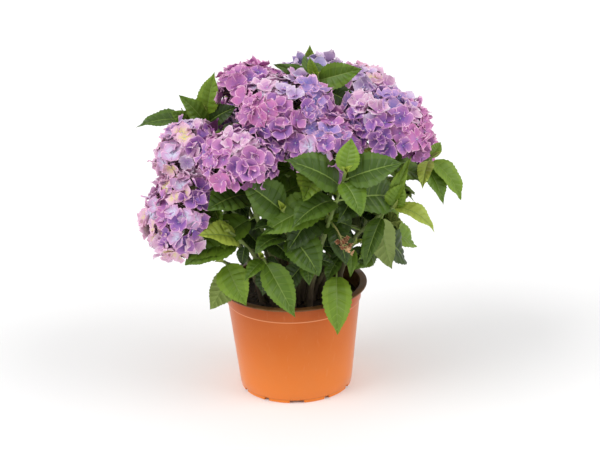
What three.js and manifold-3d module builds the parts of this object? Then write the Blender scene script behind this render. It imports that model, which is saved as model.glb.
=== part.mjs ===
import * as THREE from 'three';
import { mergeVertices } from 'three/addons/utils/BufferGeometryUtils.js';
import Module from 'manifold-3d';

// A mophead hydrangea in full bloom, standing in its nursery pot.
// Millimetres, Z up, the front towards -Y. The origin is the middle of the pot's flat underside.

// Pot: a thin moulded tub with a flat lip, an upper band and a notched foot
const RIM_RADIUS = 95;
const RIM_HEIGHT = 139.3;
const LIP_THICKNESS = 2.4;
const BAND_RADIUS = 87.5;
const BAND_DEPTH = 20.7;
const BAND_STEP = 1.2;
const FLOOR_RADIUS = 72.7;
const FOOT_HEIGHT = 4.5;
const FOOT_WIDTH = 5.3;
const FLOOR_THICKNESS = 2;
const WALL = 1.8;
const PAD_RADIUS = 24;
const NOTCHES = 11;
const NOTCH_WIDTH = 7;
const FRONT_NOTCH_WIDTH = 18;
const NOTCH_HEIGHT = 3.6;
const POT_FACETS = 33;

// Compost, filled to a little under the band
const COMPOST_HEIGHT = 122;
const COMPOST_EDGE_FALL = 2.5;
const COMPOST_LEVEL_RADIUS = 68;
const GAP = 0.3;

// Stems: where they stand on the compost and how they taper
const FOOT_SHARE = 0.3;
const FOOT_ROOM = 12.5;
const FOOT_REACH = 60;
const SETTLING_STEPS = 60;
const PATH_STEPS = 8;
const PATH_SPREAD = 0.35;
const PATH_RISE = 0.35;
const PATH_LEAN = 0.38;
const STEM_SIDES = 5;
const FOOT_FLARE = 1.35;
const CANE_FOOT_RADIUS = 4.1;
const CANE_TIP_RADIUS = 2.2;
const SHOOT_FOOT_RADIUS = 3.5;
const SHOOT_TIP_RADIUS = 1.7;
const BARE_END = 9;
const RING_SPACING = 4;
const BUD_LENGTH = 5;

// Flower heads: flattened domes of four-petalled florets round a closed middle
const DOME_FLATNESS = 0.7;
const DOME_SKIRT = -0.37;
const DOME_CORE = 0.78;
const CORE_SKIRT = -0.3;
const CORE_HEIGHTS = [CORE_SKIRT, 0.1, 0.5, 0.8];
const CORE_FACETS = 7;
const NECK = 0.42;
const FLORET_SPACING = 35.5;
const FLORET_REACH = 18;
const FLORET_CUP = 3;
const FLORET_ROOT = 0.5;
const FLORET_OVERLAP = 4;
const DOME_COVER = 0.86;
const HEXAGONAL = 0.866;
const SPIRAL = 2.399963;

// Leaves: opposite pairs, each pair a quarter turn from the last, opening wider down the stem
const HEART = new THREE.Vector3(8, 0, 215);
const SHOOT_RULE = { spread: [32, 62, 74, 82], size: [0.62, 0.92, 1, 1.05], gap: [0, 9, 28, 60] };
const CANE_RULE = { spread: [70, 76, 80, 84], size: [0.92, 1, 1, 0.95], gap: [8, 36, 72, 110] };
const LEAF_SHAPE = { swell: 0.65, point: 1.15, peak: 0.308 };
const LEAF_WIDTH = 0.6;
const LEAF_FOLD = 14;
const LEAF_ROLL = 20;
const LEAF_ARCH = { first: 20, more: 12 };
const LEAF_STALK = { first: 0.06, more: 0.05 };
const LEAF_FACE = { ahead: 0.7, up: 0.35, outward: 0.7 };
const LEAF_DROOP = { back: 0.28, down: 0.1, tries: 6, room: 3 };
const SWINGS = [0, 0.16, -0.16, 0.32, -0.32];
const LIFTS = [0, -0.18, 0.18, -0.36];
const LEAF_THICKNESS = 1.3;
const LEAF_STALK_RADIUS = 1;
const LEAF_STALK_SEAT = 0.7;
const LEAF_STATIONS = [0.28, 0.66];

// Blooming canes: the middle of the flower head and its radius, the bearing and lift of its axis,
// the turn of the top leaf pair, the length of a leaf, and which pairs it keeps: the first and the
// one after the last, counted down the cane
const BLOOMING_CANES = {
  top_front: { at: [-4, -50, 391], radius: 54, bearing: 265, lift: 78, turn: 35, leaf: 70, pairs: [0, 3] },
  top_left: { at: [-50, 28, 397], radius: 37, bearing: 150, lift: 74, turn: 70, leaf: 66, pairs: [0, 2] },
  top_back: { at: [40, 82, 377], radius: 46, bearing: 80, lift: 72, turn: 20, leaf: 74, pairs: [0, 2] },
  top_right: { at: [98, 60, 378], radius: 37, bearing: 30, lift: 68, turn: 60, leaf: 72, pairs: [0, 3] },
  right: { at: [121, -42, 363], radius: 55, bearing: 335, lift: 66, turn: 10, leaf: 76, pairs: [0, 3] },
  middle: { at: [44, -79, 352], radius: 47, bearing: 285, lift: 74, turn: 50, leaf: 74, pairs: [0, 3] },
  centre_left: { at: [-57, -99, 343], radius: 48, bearing: 245, lift: 74, turn: 60, leaf: 78, pairs: [2, 3] },
  left: { at: [-127, -41, 336], radius: 40, bearing: 185, lift: 52, turn: 75, leaf: 74, pairs: [0, 3] },
  low_left: { at: [-134, -80, 269], radius: 55, bearing: 195, lift: 26, turn: 40, leaf: 74, pairs: [2, 3] },
  back_left: { at: [-98, 78, 302], radius: 52, bearing: 140, lift: 55, turn: 0, leaf: 76, pairs: [0, 3] },
  back: { at: [-28, 128, 330], radius: 56, bearing: 100, lift: 52, turn: 30, leaf: 78, pairs: [0, 3] },
  back_right: { at: [70, 140, 318], radius: 52, bearing: 60, lift: 50, turn: 65, leaf: 78, pairs: [0, 3] },
  far_right: { at: [140, 66, 304], radius: 50, bearing: 20, lift: 46, turn: 15, leaf: 76, pairs: [0, 3] },
};

// Leafy shoots: the tip, the bearing and lift of its axis, the turn of the first leaf pair,
// the length of a full leaf, and which pairs it keeps. Elsewhere the marked leaves below take
// their place.
const LEAFY_SHOOTS = {
  top: { at: [36, -10, 412], bearing: 275, lift: 60, turn: 84, leaf: 60, pairs: [2, 4] },
  front: { at: [66, -142, 334], bearing: 280, lift: 48, turn: 92, leaf: 82, pairs: [3, 4] },
  left: { at: [-102, 8, 366], bearing: 195, lift: 84, turn: 8, leaf: 82, pairs: [2, 4] },
  left_small: { at: [-126, 30, 352], bearing: 178, lift: 44, turn: 20, leaf: 70, pairs: [2, 3] },
  crest: { at: [28, 128, 368], bearing: 90, lift: 76, turn: 10, leaf: 60, pairs: [0, 2] },
  right: { at: [176, -30, 312], bearing: 352, lift: 34, turn: 75, leaf: 64, pairs: [3, 4] },
  low_right: { at: [124, -84, 268], bearing: 322, lift: 36, turn: 45, leaf: 74, pairs: [3, 4] },
  low_front: { at: [-8, -124, 282], bearing: 262, lift: 50, turn: 50, leaf: 84, pairs: [4, 4] },
  mid: { at: [46, -84, 262], bearing: 285, lift: 60, turn: 70, leaf: 26, pairs: [0, 2] },
  low_left: { at: [-74, -110, 252], bearing: 232, lift: 40, turn: 45, leaf: 76, pairs: [2, 3] },
  skirt_front: { at: [22, -96, 214], bearing: 285, lift: 40, turn: 70, leaf: 70, pairs: [3, 3] },
  skirt_centre: { at: [-36, -96, 212], bearing: 262, lift: 36, turn: 45, leaf: 72, pairs: [3, 3] },
  skirt_left: { at: [-84, -86, 204], bearing: 220, lift: 36, turn: 30, leaf: 70, pairs: [3, 3] },
  skirt_right: { at: [76, -72, 216], bearing: 315, lift: 42, turn: 60, leaf: 72, pairs: [3, 3] },
  skirt_far_right: { at: [112, -8, 218], bearing: 350, lift: 36, turn: 20, leaf: 74, pairs: [0, 3] },
  back: { at: [10, 118, 246], bearing: 85, lift: 40, turn: 10, leaf: 84, pairs: [0, 4] },
  back_left: { at: [-104, 58, 240], bearing: 150, lift: 35, turn: 50, leaf: 84, pairs: [0, 4] },
  back_right: { at: [104, 74, 236], bearing: 35, lift: 35, turn: 80, leaf: 84, pairs: [0, 4] },
};

// Shoots that are leafy right down to the compost
const BASAL_SHOOTS = /^skirt_/;

// Leaves that the front shows plainly, by the mass they belong to: distance back from the stem's tip,
// the leaf's tip, bearing and lift of its upper side, arch, and breadth and stalk as shares of length
const MARKED_LEAVES = {
  leaves_front: [
    { back: 2, tip: [75, -126, 374], bearing: 270, lift: 12, arch: 22, breadth: 0.7, stalk: 0.08 },
    { back: 30, tip: [-8, -150, 357], bearing: 258, lift: 48, arch: 45, breadth: 0.59, stalk: 0.08 },
    { back: 15, tip: [138, -138, 345], bearing: 285, lift: 42, arch: 32, breadth: 0.64, stalk: 0.1 },
    { back: 18, tip: [83, -162, 287], bearing: 290, lift: 40, arch: 72, breadth: 0.66, stalk: 0.06 },
    { back: 60, tip: [0, -150, 269], bearing: 262, lift: 58, arch: 70, breadth: 0.64, stalk: 0.1 },
  ],
  leaves_low_front: [
    { back: 3, tip: [-59, -136, 329], bearing: 262, lift: 40, arch: 30, breadth: 0.72, stalk: 0.08 },
    { back: 40, tip: [-47, -138, 265], bearing: 260, lift: 60, arch: 45, breadth: 0.55, stalk: 0.12 },
    { back: 72, tip: [-45, -128, 230], bearing: 270, lift: 78, arch: 85, breadth: 0.53, stalk: 0.12 },
    { back: 54, tip: [32, -124, 196], bearing: 282, lift: 42, arch: 70, breadth: 0.74, stalk: 0.1 },
  ],
  bloom_centre_left: [
    { back: 34, tip: [-100, -132, 290], bearing: 250, lift: 42, arch: 35, breadth: 0.83, stalk: 0.1 },
  ],
  bloom_low_left: [
    { back: 40, tip: [-112, -118, 275], bearing: 245, lift: 50, arch: 35, breadth: 0.53, stalk: 0.15 },
  ],
  leaves_low_left: [
    { back: 26, tip: [-113, -138, 260], bearing: 60, lift: 45, arch: 45, breadth: 0.53, stalk: 0.12 },
  ],
  leaves_skirt_left: [
    { back: 24, tip: [-70, -84, 189], bearing: 240, lift: 45, arch: 40, breadth: 0.6, stalk: 0.12 },
    { back: 2, tip: [-58, -112, 155], bearing: 262, lift: 24, arch: 38, breadth: 0.7, stalk: 0.06 },
    { back: 16, tip: [-104, -104, 148], bearing: 60, lift: 10, arch: 40, breadth: 0.66, stalk: 0.1 },
  ],
  leaves_skirt_centre: [
    { back: 14, tip: [-18, -72, 191], bearing: 270, lift: 50, arch: 45, breadth: 0.62, stalk: 0.1 },
    { back: 30, tip: [-39, -72, 151], bearing: 262, lift: 45, arch: 40, breadth: 0.6, stalk: 0.12 },
    { back: 3, tip: [2, -124, 142], bearing: 275, lift: 28, arch: 38, breadth: 0.49, stalk: 0.1 },
    { back: 8, tip: [-59, -118, 191], bearing: 255, lift: 40, arch: 40, breadth: 0.53, stalk: 0.08 },
  ],
  leaves_skirt_front: [
    { back: 10, tip: [54, -84, 193], bearing: 300, lift: 50, arch: 40, breadth: 0.6, stalk: 0.1 },
    { back: 30, tip: [-13, -66, 153], bearing: 262, lift: 45, arch: 40, breadth: 0.62, stalk: 0.12 },
    { back: 18, tip: [20, -112, 179], bearing: 262, lift: 38, arch: 40, breadth: 0.58, stalk: 0.1 },
  ],
  leaves_skirt_right: [
    { back: 40, tip: [53, -104, 108], bearing: 270, lift: 24, arch: 62, breadth: 0.49, stalk: 0.34 },
    { back: 3, tip: [71, -94, 181], bearing: 280, lift: 20, arch: 40, breadth: 0.38, stalk: 0.1 },
    { back: 28, tip: [41, -78, 168], bearing: 250, lift: 40, arch: 45, breadth: 0.55, stalk: 0.1 },
  ],
  leaves_low_right: [
    { back: 0, tip: [175, -104, 241], bearing: 300, lift: 60, arch: 82, breadth: 0.47, stalk: 0.08 },
    { back: 4, tip: [149, -84, 335], bearing: 248, lift: 18, arch: 30, breadth: 0.25, stalk: 0.05 },
    { back: 15, tip: [88, -112, 200], bearing: 245, lift: 18, arch: 40, breadth: 0.38, stalk: 0.12 },
    { back: 20, tip: [123, -88, 188], bearing: 120, lift: -10, arch: 35, breadth: 0.64, stalk: 0.1 },
    { back: 2, tip: [139, -90, 303], bearing: 270, lift: 30, arch: 30, breadth: 0.74, stalk: 0.1 },
  ],
  leaves_right: [
    { back: 0, tip: [190, -14, 327], bearing: 275, lift: 40, arch: 30, breadth: 0.64, stalk: 0.1 },
    { back: 3, tip: [212, -44, 260], bearing: 320, lift: 35, arch: 80, breadth: 0.53, stalk: 0.08 },
    { back: 12, tip: [189, -60, 260], bearing: 300, lift: 20, arch: 55, breadth: 0.49, stalk: 0.1 },
    { back: 2, tip: [162, -78, 289], bearing: 240, lift: 60, arch: 30, breadth: 0.42, stalk: 0.1 },
  ],
  leaves_top: [
    { back: 3, tip: [-16, -22, 437], bearing: 262, lift: 18, arch: 20, breadth: 0.44, stalk: 0.08 },
    { back: 0, tip: [29, -10, 442], bearing: 250, lift: 10, arch: 18, breadth: 0.49, stalk: 0.08 },
    { back: 3, tip: [94, -20, 427], bearing: 278, lift: 24, arch: 22, breadth: 0.58, stalk: 0.08 },
    { back: 14, tip: [87, -18, 374], bearing: 290, lift: 45, arch: 45, breadth: 0.61, stalk: 0.12 },
  ],
  leaves_left: [
    { back: 2, tip: [-89, 4, 422], bearing: 252, lift: 18, arch: 22, breadth: 0.53, stalk: 0.06 },
    { back: 18, tip: [-135, 2, 394], bearing: 240, lift: 55, arch: 40, breadth: 0.49, stalk: 0.08 },
    { back: 12, tip: [-61, -8, 380], bearing: 285, lift: 40, arch: 40, breadth: 0.59, stalk: 0.1 },
    { back: 22, tip: [-121, -16, 364], bearing: 240, lift: 40, arch: 40, breadth: 0.59, stalk: 0.12 },
  ],
  leaves_left_small: [
    { back: 2, tip: [-192, 18, 348], bearing: 245, lift: 58, arch: 48, breadth: 0.47, stalk: 0.1 },
    { back: 6, tip: [-148, 18, 368], bearing: 250, lift: 30, arch: 70, breadth: 0.64, stalk: 0.14 },
  ],
  leaves_crest: [
    { back: 0, tip: [31, 122, 420], bearing: 270, lift: 5, arch: 25, breadth: 0.48, stalk: 0.06 },
  ],
};

const COLOURS = {
  pot: { color: 0xc8703c, roughness: 0.45, metalness: 0 },
  compost: { color: 0x2a1c14, roughness: 0.95, metalness: 0 },
  cane: { color: 0x7c8a4a, roughness: 0.7, metalness: 0 },
  leaf: { color: 0x3f7a2c, roughness: 0.55, metalness: 0 },
};
const BLOOM_COLOURS = [0x9a6fc0, 0xb267b8, 0xb9b0dc, 0xc97ab2];

const UP = new THREE.Vector3(0, 0, 1);
const wasm = await Module();
wasm.setup();

// Solids and meshes

function solidFrom(positions, triangles) {
  const whole = triangles.filter(([a, b, c]) => a !== b && b !== c && c !== a);
  return new wasm.Manifold(new wasm.Mesh({
    numProp: 3,
    vertProperties: new Float32Array(positions),
    triVerts: new Uint32Array(whole.flat()),
  }));
}

function solidOf(geometry) {
  geometry.deleteAttribute('normal');
  geometry.deleteAttribute('uv');
  const merged = mergeVertices(geometry, 1e-3);
  const index = merged.index.array;
  const triangles = [];
  for (let i = 0; i < index.length; i += 3) {
    triangles.push([index[i], index[i + 1], index[i + 2]]);
  }
  return solidFrom(merged.attributes.position.array, triangles);
}

// A closed skin over rings of points that run counter-clockwise round the way they advance.
// The last ring may be a single point.
function loft(rings) {
  const sides = rings[0].length;
  const points = rings.flat();
  const triangles = [];
  for (let i = 1; i < sides - 1; i++) {
    triangles.push([0, i + 1, i]);
  }
  for (let r = 0; r + 1 < rings.length; r++) {
    const start = r * sides;
    const tip = rings[r + 1].length === 1;
    for (let i = 0; i < sides; i++) {
      const next = (i + 1) % sides;
      if (tip) {
        triangles.push([start + i, start + next, start + sides]);
      } else {
        triangles.push([start + i, start + next, start + sides + next]);
        triangles.push([start + i, start + sides + next, start + sides + i]);
      }
    }
  }
  const last = points.length - sides;
  if (rings.at(-1).length > 1) {
    for (let i = 1; i < sides - 1; i++) {
      triangles.push([last, last + i, last + i + 1]);
    }
  }
  return solidFrom(points.flatMap((p) => [p.x, p.y, p.z]), triangles);
}

function turned(profile, facets) {
  const points = profile.map(([radius, height]) => new THREE.Vector2(radius, height));
  return solidOf(new THREE.LatheGeometry(points, facets).rotateX(Math.PI / 2));
}

// The largest closed piece of a union: it drops loose scraps and fills sealed hollows
function mainBody(solid) {
  return solid.decompose().reduce((a, b) => (b.volume() > a.volume() ? b : a));
}

function meshOf(name, solid, look) {
  const { vertProperties, triVerts } = solid.getMesh();
  const geometry = new THREE.BufferGeometry();
  geometry.setAttribute('position', new THREE.BufferAttribute(vertProperties, 3));
  geometry.setIndex(new THREE.BufferAttribute(triVerts, 1));
  geometry.computeVertexNormals();
  const mesh = new THREE.Mesh(geometry, new THREE.MeshStandardMaterial(look));
  mesh.name = name;
  return mesh;
}

// Directions

const radians = THREE.MathUtils.degToRad;
const moved = (point, way, distance) => point.clone().addScaledVector(way, distance);
const between = (from, to) => new THREE.Vector3().subVectors(to, from);
const crossed = (a, b) => new THREE.Vector3().crossVectors(a, b);

function facing(bearing, lift) {
  const level = Math.cos(radians(lift));
  return new THREE.Vector3(
    level * Math.cos(radians(bearing)),
    level * Math.sin(radians(bearing)),
    Math.sin(radians(lift)),
  );
}

// Two directions square to an axis: a level one, and the one above it
function across(axis) {
  const side = Math.abs(axis.z) < 0.995 ? crossed(UP, axis).normalize() : new THREE.Vector3(1, 0, 0);
  return [side, crossed(axis, side)];
}

// Seeded chance, so that the plant grows the same each time
class Chance {
  constructor(seed) {
    this.state = seed >>> 0;
  }

  next() {
    this.state = (Math.imul(this.state, 1664525) + 1013904223) >>> 0;
    return this.state / 4294967296;
  }

  about(spread) {
    return (this.next() * 2 - 1) * spread;
  }
}

// Pot and compost

function potSolid() {
  const bandFoot = RIM_HEIGHT - BAND_DEPTH;
  const shoulder = BAND_RADIUS - BAND_STEP;
  const lipRound = LIP_THICKNESS / 3;
  const footOut = FLOOR_RADIUS - 1.2;
  const profile = [
    [0, 0],
    [PAD_RADIUS, 0],
    [PAD_RADIUS + 1, FOOT_HEIGHT],
    [footOut - FOOT_WIDTH, FOOT_HEIGHT],
    [footOut - FOOT_WIDTH, 0],
    [footOut, 0],
    [footOut, FOOT_HEIGHT],
    [FLOOR_RADIUS, FOOT_HEIGHT],
    [shoulder - 1, bandFoot - 1],
    [shoulder + 0.4, bandFoot],
    [BAND_RADIUS, RIM_HEIGHT - LIP_THICKNESS],
    [RIM_RADIUS - lipRound, RIM_HEIGHT - LIP_THICKNESS],
    [RIM_RADIUS, RIM_HEIGHT - LIP_THICKNESS + lipRound],
    [RIM_RADIUS, RIM_HEIGHT - lipRound],
    [RIM_RADIUS - lipRound, RIM_HEIGHT],
    [BAND_RADIUS - WALL, RIM_HEIGHT],
    [shoulder + 0.4 - WALL, bandFoot],
    [shoulder - 1 - WALL, bandFoot - 1],
    [FLOOR_RADIUS - WALL, FOOT_HEIGHT + FLOOR_THICKNESS],
    [0, FOOT_HEIGHT + FLOOR_THICKNESS],
  ];
  let pot = turned(profile, POT_FACETS);
  for (let i = 0; i < NOTCHES; i++) {
    const width = i === 0 ? FRONT_NOTCH_WIDTH : NOTCH_WIDTH;
    const notch = new THREE.BoxGeometry(width, 4 * FOOT_WIDTH, 2 * NOTCH_HEIGHT);
    notch.translate(0, -(footOut - FOOT_WIDTH / 2), 0);
    notch.rotateZ((i * 2 * Math.PI) / NOTCHES);
    pot = pot.subtract(solidOf(notch));
  }
  return pot;
}

function compostSolid() {
  const bandFoot = RIM_HEIGHT - BAND_DEPTH;
  const inside = BAND_RADIUS - BAND_STEP - WALL - 1 - GAP;
  return turned([
    [0, FOOT_HEIGHT + FLOOR_THICKNESS + GAP],
    [FLOOR_RADIUS - WALL - GAP, FOOT_HEIGHT + FLOOR_THICKNESS + GAP],
    [inside, bandFoot - 1],
    [inside, COMPOST_HEIGHT - COMPOST_EDGE_FALL],
    [COMPOST_LEVEL_RADIUS, COMPOST_HEIGHT],
    [0, COMPOST_HEIGHT],
  ], POT_FACETS);
}

// Stems

// Where the stems stand: under their tips, drawn together, then pushed apart until none crowds another
function standingPlaces(tips) {
  const spots = tips.map((tip) => new THREE.Vector2(tip.x * FOOT_SHARE, tip.y * FOOT_SHARE));
  for (let step = 0; step < SETTLING_STEPS; step++) {
    for (let i = 0; i < spots.length; i++) {
      for (let j = 0; j < i; j++) {
        const apart = new THREE.Vector2().subVectors(spots[i], spots[j]);
        const gap = apart.length();
        if (gap < FOOT_ROOM) {
          const push = (FOOT_ROOM - gap) / (2 * Math.max(gap, 0.01));
          spots[i].addScaledVector(apart, push);
          spots[j].addScaledVector(apart, -push);
        }
      }
    }
    spots.forEach((spot) => spot.clampLength(0, FOOT_REACH));
  }
  return spots;
}

function stemPath(spot, tip, axis) {
  const foot = new THREE.Vector3(spot.x, spot.y, COMPOST_HEIGHT);
  const reach = foot.distanceTo(tip);
  const upright = new THREE.Vector3(spot.x * PATH_SPREAD, spot.y * PATH_SPREAD, reach * PATH_RISE);
  const rising = foot.clone().add(upright);
  const leaning = moved(tip, axis, -PATH_LEAN * reach);
  return new THREE.CubicBezierCurve3(foot, rising, leaning, tip).getPoints(PATH_STEPS);
}

// The point and direction at a distance back from the tip of a path
function backAlong(path, distance) {
  let left = distance;
  for (let i = path.length - 1; i > 0; i--) {
    const step = between(path[i - 1], path[i]);
    const length = step.length();
    if (left <= length || i === 1) {
      return [moved(path[i], step, -Math.min(left / length, 1)), step.normalize()];
    }
    left -= length;
  }
}

// A tapering limb through the given points, cut flat where it starts
function limb(points, radii, startFacing, bud) {
  const rings = points.map((point, i) => {
    const ahead = points[Math.min(i + 1, points.length - 1)];
    const behind = points[Math.max(i - 1, 0)];
    const way = i === 0 ? startFacing : between(behind, ahead).normalize();
    const side = crossed(new THREE.Vector3(0, 1, 0), way).normalize();
    const over = crossed(way, side);
    return Array.from({ length: STEM_SIDES }, (_, k) => {
      const angle = (2 * Math.PI * k) / STEM_SIDES;
      return moved(moved(point, side, radii[i] * Math.cos(angle)), over, radii[i] * Math.sin(angle));
    });
  });
  if (bud) {
    const way = between(points.at(-2), points.at(-1)).normalize();
    rings.push([moved(points.at(-1), way, BUD_LENGTH)]);
  }
  return loft(rings);
}

// Every stem of the plant, with its rule, path and lengths
function plantStems() {
  const stems = [];
  Object.entries(BLOOMING_CANES).forEach(([name, cane], i) => {
    const owner = `bloom_${name}`;
    const axis = facing(cane.bearing, cane.lift);
    const centre = new THREE.Vector3(...cane.at);
    const tip = moved(centre, axis, -NECK * cane.radius);
    const seed = 1000 + 17 * i;
    stems.push({ ...cane, name, owner, axis, centre, tip, blooms: true, rule: CANE_RULE, seed });
  });
  Object.entries(LEAFY_SHOOTS).forEach(([name, shoot], i) => {
    const owner = `leaves_${name}`;
    const axis = facing(shoot.bearing, shoot.lift);
    const tip = new THREE.Vector3(...shoot.at);
    const basal = BASAL_SHOOTS.test(name);
    const seed = 5000 + 31 * i;
    stems.push({ ...shoot, name, owner, axis, tip, basal, rule: SHOOT_RULE, seed });
  });
  const spots = standingPlaces(stems.map((stem) => stem.tip));
  stems.forEach((stem, i) => {
    stem.path = stemPath(spots[i], stem.tip, stem.axis);
    stem.marked = MARKED_LEAVES[stem.owner] ?? [];
    const joints = [stem.rule.gap[stem.pairs[1] - 1], ...stem.marked.map((mark) => mark.back)];
    stem.leafyLength = Math.max(...joints) + BARE_END;
  });
  return stems;
}

function stemRadius(stem, share) {
  const foot = stem.blooms ? CANE_FOOT_RADIUS : SHOOT_FOOT_RADIUS;
  const tip = stem.blooms ? CANE_TIP_RADIUS : SHOOT_TIP_RADIUS;
  return foot + (tip - foot) * share;
}

// The bare cane from the compost to where the leaves start, and the stem inside the mass of leaves
function stemSolids(stem) {
  const lengths = [0];
  for (let i = 1; i < stem.path.length; i++) {
    lengths.push(lengths[i - 1] + stem.path[i - 1].distanceTo(stem.path[i]));
  }
  const whole = lengths.at(-1);
  const partAt = (from, to) => {
    const stations = [from, ...lengths.filter((l) => l > from + RING_SPACING && l < to - RING_SPACING), to];
    const points = stations.map((station) => backAlong(stem.path, whole - station)[0]);
    return [points, stations.map((station) => stemRadius(stem, station / whole))];
  };
  const join = whole - stem.leafyLength;
  const solids = {};
  if (!stem.basal) {
    const [points, radii] = partAt(0, join - GAP / 2);
    points[0].z += GAP;
    radii[0] *= FOOT_FLARE;
    solids.cane = limb(points, radii, UP, false);
  }
  const [points, radii] = partAt(stem.basal ? 0 : join + GAP / 2, whole);
  let start = backAlong(stem.path, stem.leafyLength)[1];
  if (stem.basal) {
    points[0].z += GAP;
    radii[0] *= FOOT_FLARE;
    start = UP;
  }
  if (stem.blooms) {
    points.push(stem.centre);
    radii.push(CANE_TIP_RADIUS);
  }
  solids.stem = limb(points, radii, start, !stem.blooms);
  return solids;
}

// Flower heads

const heads = Object.values(BLOOMING_CANES).map(({ at, radius, bearing, lift }) => ({
  centre: new THREE.Vector3(...at),
  axis: facing(bearing, lift),
  radius,
}));

// Whether a point lies inside a flower head, or nearer to it than the given room
function insideHead(point, room, own) {
  return heads.some((head) => {
    if (own && head.centre.equals(own)) {
      return false;
    }
    const from = between(head.centre, point);
    const height = from.dot(head.axis);
    const out = Math.sqrt(Math.max(0, from.lengthSq() - height * height));
    const thick = head.radius * DOME_FLATNESS;
    const above = height > CORE_SKIRT * thick - room;
    return above && (height / (thick + room)) ** 2 + (out / (head.radius + room)) ** 2 < 1;
  });
}

function headCore(stem) {
  const radius = stem.radius * DOME_CORE;
  const profile = CORE_HEIGHTS.map((h) => [radius * Math.sqrt(1 - h * h), radius * DOME_FLATNESS * h]);
  profile.unshift([0, profile[0][1]]);
  profile.push([0, radius * DOME_FLATNESS]);
  const points = profile.map(([out, height]) => new THREE.Vector2(out, height));
  const geometry = new THREE.LatheGeometry(points, CORE_FACETS).rotateX(Math.PI / 2);
  geometry.applyQuaternion(new THREE.Quaternion().setFromUnitVectors(UP, stem.axis));
  return solidOf(geometry.translate(...stem.centre.toArray()));
}

// Florets in a spiral over the dome, each a cupped square of four petals on a stalk to the middle
function floretSolids(stem, grow) {
  const [side, over] = across(stem.axis);
  const chance = new Chance(stem.seed + 7);
  const span = 1 - DOME_SKIRT;
  const area = 2 * Math.PI * stem.radius ** 2 * span * DOME_COVER;
  const count = Math.round(area / (HEXAGONAL * FLORET_SPACING ** 2));
  const solids = [];
  for (let i = 0; i < count; i++) {
    const height = 1 - ((i + 0.5) / count) * span;
    const angle = i * SPIRAL + chance.about(0.2);
    const spin = (chance.next() * Math.PI) / 2;
    const out = Math.sqrt(Math.max(0, 1 - height * height));
    const ring = side.clone().multiplyScalar(Math.cos(angle)).addScaledVector(over, Math.sin(angle));
    const thick = stem.radius * DOME_FLATNESS;
    const face = moved(moved(stem.centre, stem.axis, height * thick), ring, out * stem.radius);
    const normal = stem.axis.clone().multiplyScalar(height / DOME_FLATNESS).addScaledVector(ring, out);
    normal.normalize();
    if (insideHead(face, -FLORET_OVERLAP, stem.centre)) {
      continue;
    }
    const [u, v] = across(normal);
    const reach = FLORET_REACH + grow;
    const corners = [0, 1, 2, 3].map((k) => {
      const turn = spin + (k * Math.PI) / 2;
      return moved(moved(face, u, reach * Math.cos(turn)), v, reach * Math.sin(turn));
    });
    const middle = moved(face, normal, grow - FLORET_CUP);
    const root = face.clone().lerp(stem.centre, 1 - FLORET_ROOT);
    const points = [root, ...corners, middle].flatMap((p) => [p.x, p.y, p.z]);
    const triangles = [];
    for (let k = 1; k <= 4; k++) {
      const next = (k % 4) + 1;
      triangles.push([0, next, k], [5, k, next]);
    }
    solids.push(solidFrom(points, triangles));
  }
  return solids;
}

// Leaves

// One leaf: its stalk leaves the stem at the root, the blade arches over and folds up along the midrib
class Leaf {
  constructor(root, way, normal, size) {
    this.root = root;
    this.way = way.clone().normalize();
    this.normal = normal.clone().addScaledVector(this.way, -normal.dot(this.way)).normalize();
    this.side = crossed(this.way, this.normal);
    this.base = moved(root, this.way, size.stalk);
    this.size = size;
  }

  middle(share) {
    const angle = this.size.arch * share;
    const bend = this.size.length / this.size.arch;
    const along = moved(this.base, this.way, bend * Math.sin(angle));
    return moved(along, this.normal, -bend * (1 - Math.cos(angle)));
  }

  upward(share) {
    const angle = this.size.arch * share;
    return this.normal.clone().multiplyScalar(Math.cos(angle)).addScaledVector(this.way, Math.sin(angle));
  }

  halfWidth(share) {
    const { swell, point, peak } = LEAF_SHAPE;
    return ((this.size.width / 2) * share ** swell * (1 - share) ** point) / peak;
  }

  // A point of the blade: share runs from base to tip, out from -1 at one edge to 1 at the other
  at(share, out) {
    const half = this.halfWidth(share);
    const flat = moved(this.middle(share), this.side, half * out * Math.cos(this.size.fold));
    return moved(flat, this.upward(share), half * Math.abs(out) * Math.sin(this.size.fold));
  }

  solid(grow) {
    const stalk = LEAF_STALK_RADIUS + grow;
    const root = moved(this.root, this.way, LEAF_STALK_SEAT);
    const rings = [[
      moved(root, this.side, stalk),
      moved(root, this.normal, -stalk),
      moved(root, this.side, -stalk),
    ]];
    for (const share of LEAF_STATIONS) {
      rings.push([
        moved(this.at(share, 1), this.side, grow),
        moved(this.middle(share), this.upward(share), -LEAF_THICKNESS - grow),
        moved(this.at(share, -1), this.side, -grow),
      ]);
    }
    rings.push([this.at(1, 0)]);
    return loft(rings);
  }
}

function inFlowers(leaf) {
  return [0.15, 0.4, 0.7, 1].some((share) => (
    [-1, 0, 1].some((out) => insideHead(leaf.at(share, out), LEAF_DROOP.room))
  ));
}

// A leaf grown from its stem to a known tip: its chord and the side it faces give how it starts out
function markedLeaf(stem, mark) {
  const [root] = backAlong(stem.path, mark.back);
  const arch = radians(mark.arch);
  const ahead = mark.stalk + Math.sin(arch) / arch;
  const down = (1 - Math.cos(arch)) / arch;
  const chord = between(root, new THREE.Vector3(...mark.tip));
  const length = chord.length() / Math.hypot(ahead, down);
  chord.normalize();
  const face = facing(mark.bearing, mark.lift);
  face.addScaledVector(chord, -face.dot(chord)).normalize();
  const dip = Math.atan2(down, ahead);
  const way = chord.clone().multiplyScalar(Math.cos(dip)).addScaledVector(face, Math.sin(dip));
  const normal = face.clone().multiplyScalar(Math.cos(dip)).addScaledVector(chord, -Math.sin(dip));
  const width = length * mark.breadth;
  const stalk = length * mark.stalk;
  return new Leaf(root, way, normal, { length, width, arch, fold: radians(LEAF_FOLD), stalk });
}

const markedLeavesOf = (stem) => stem.marked.map((mark) => markedLeaf(stem, mark));

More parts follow.
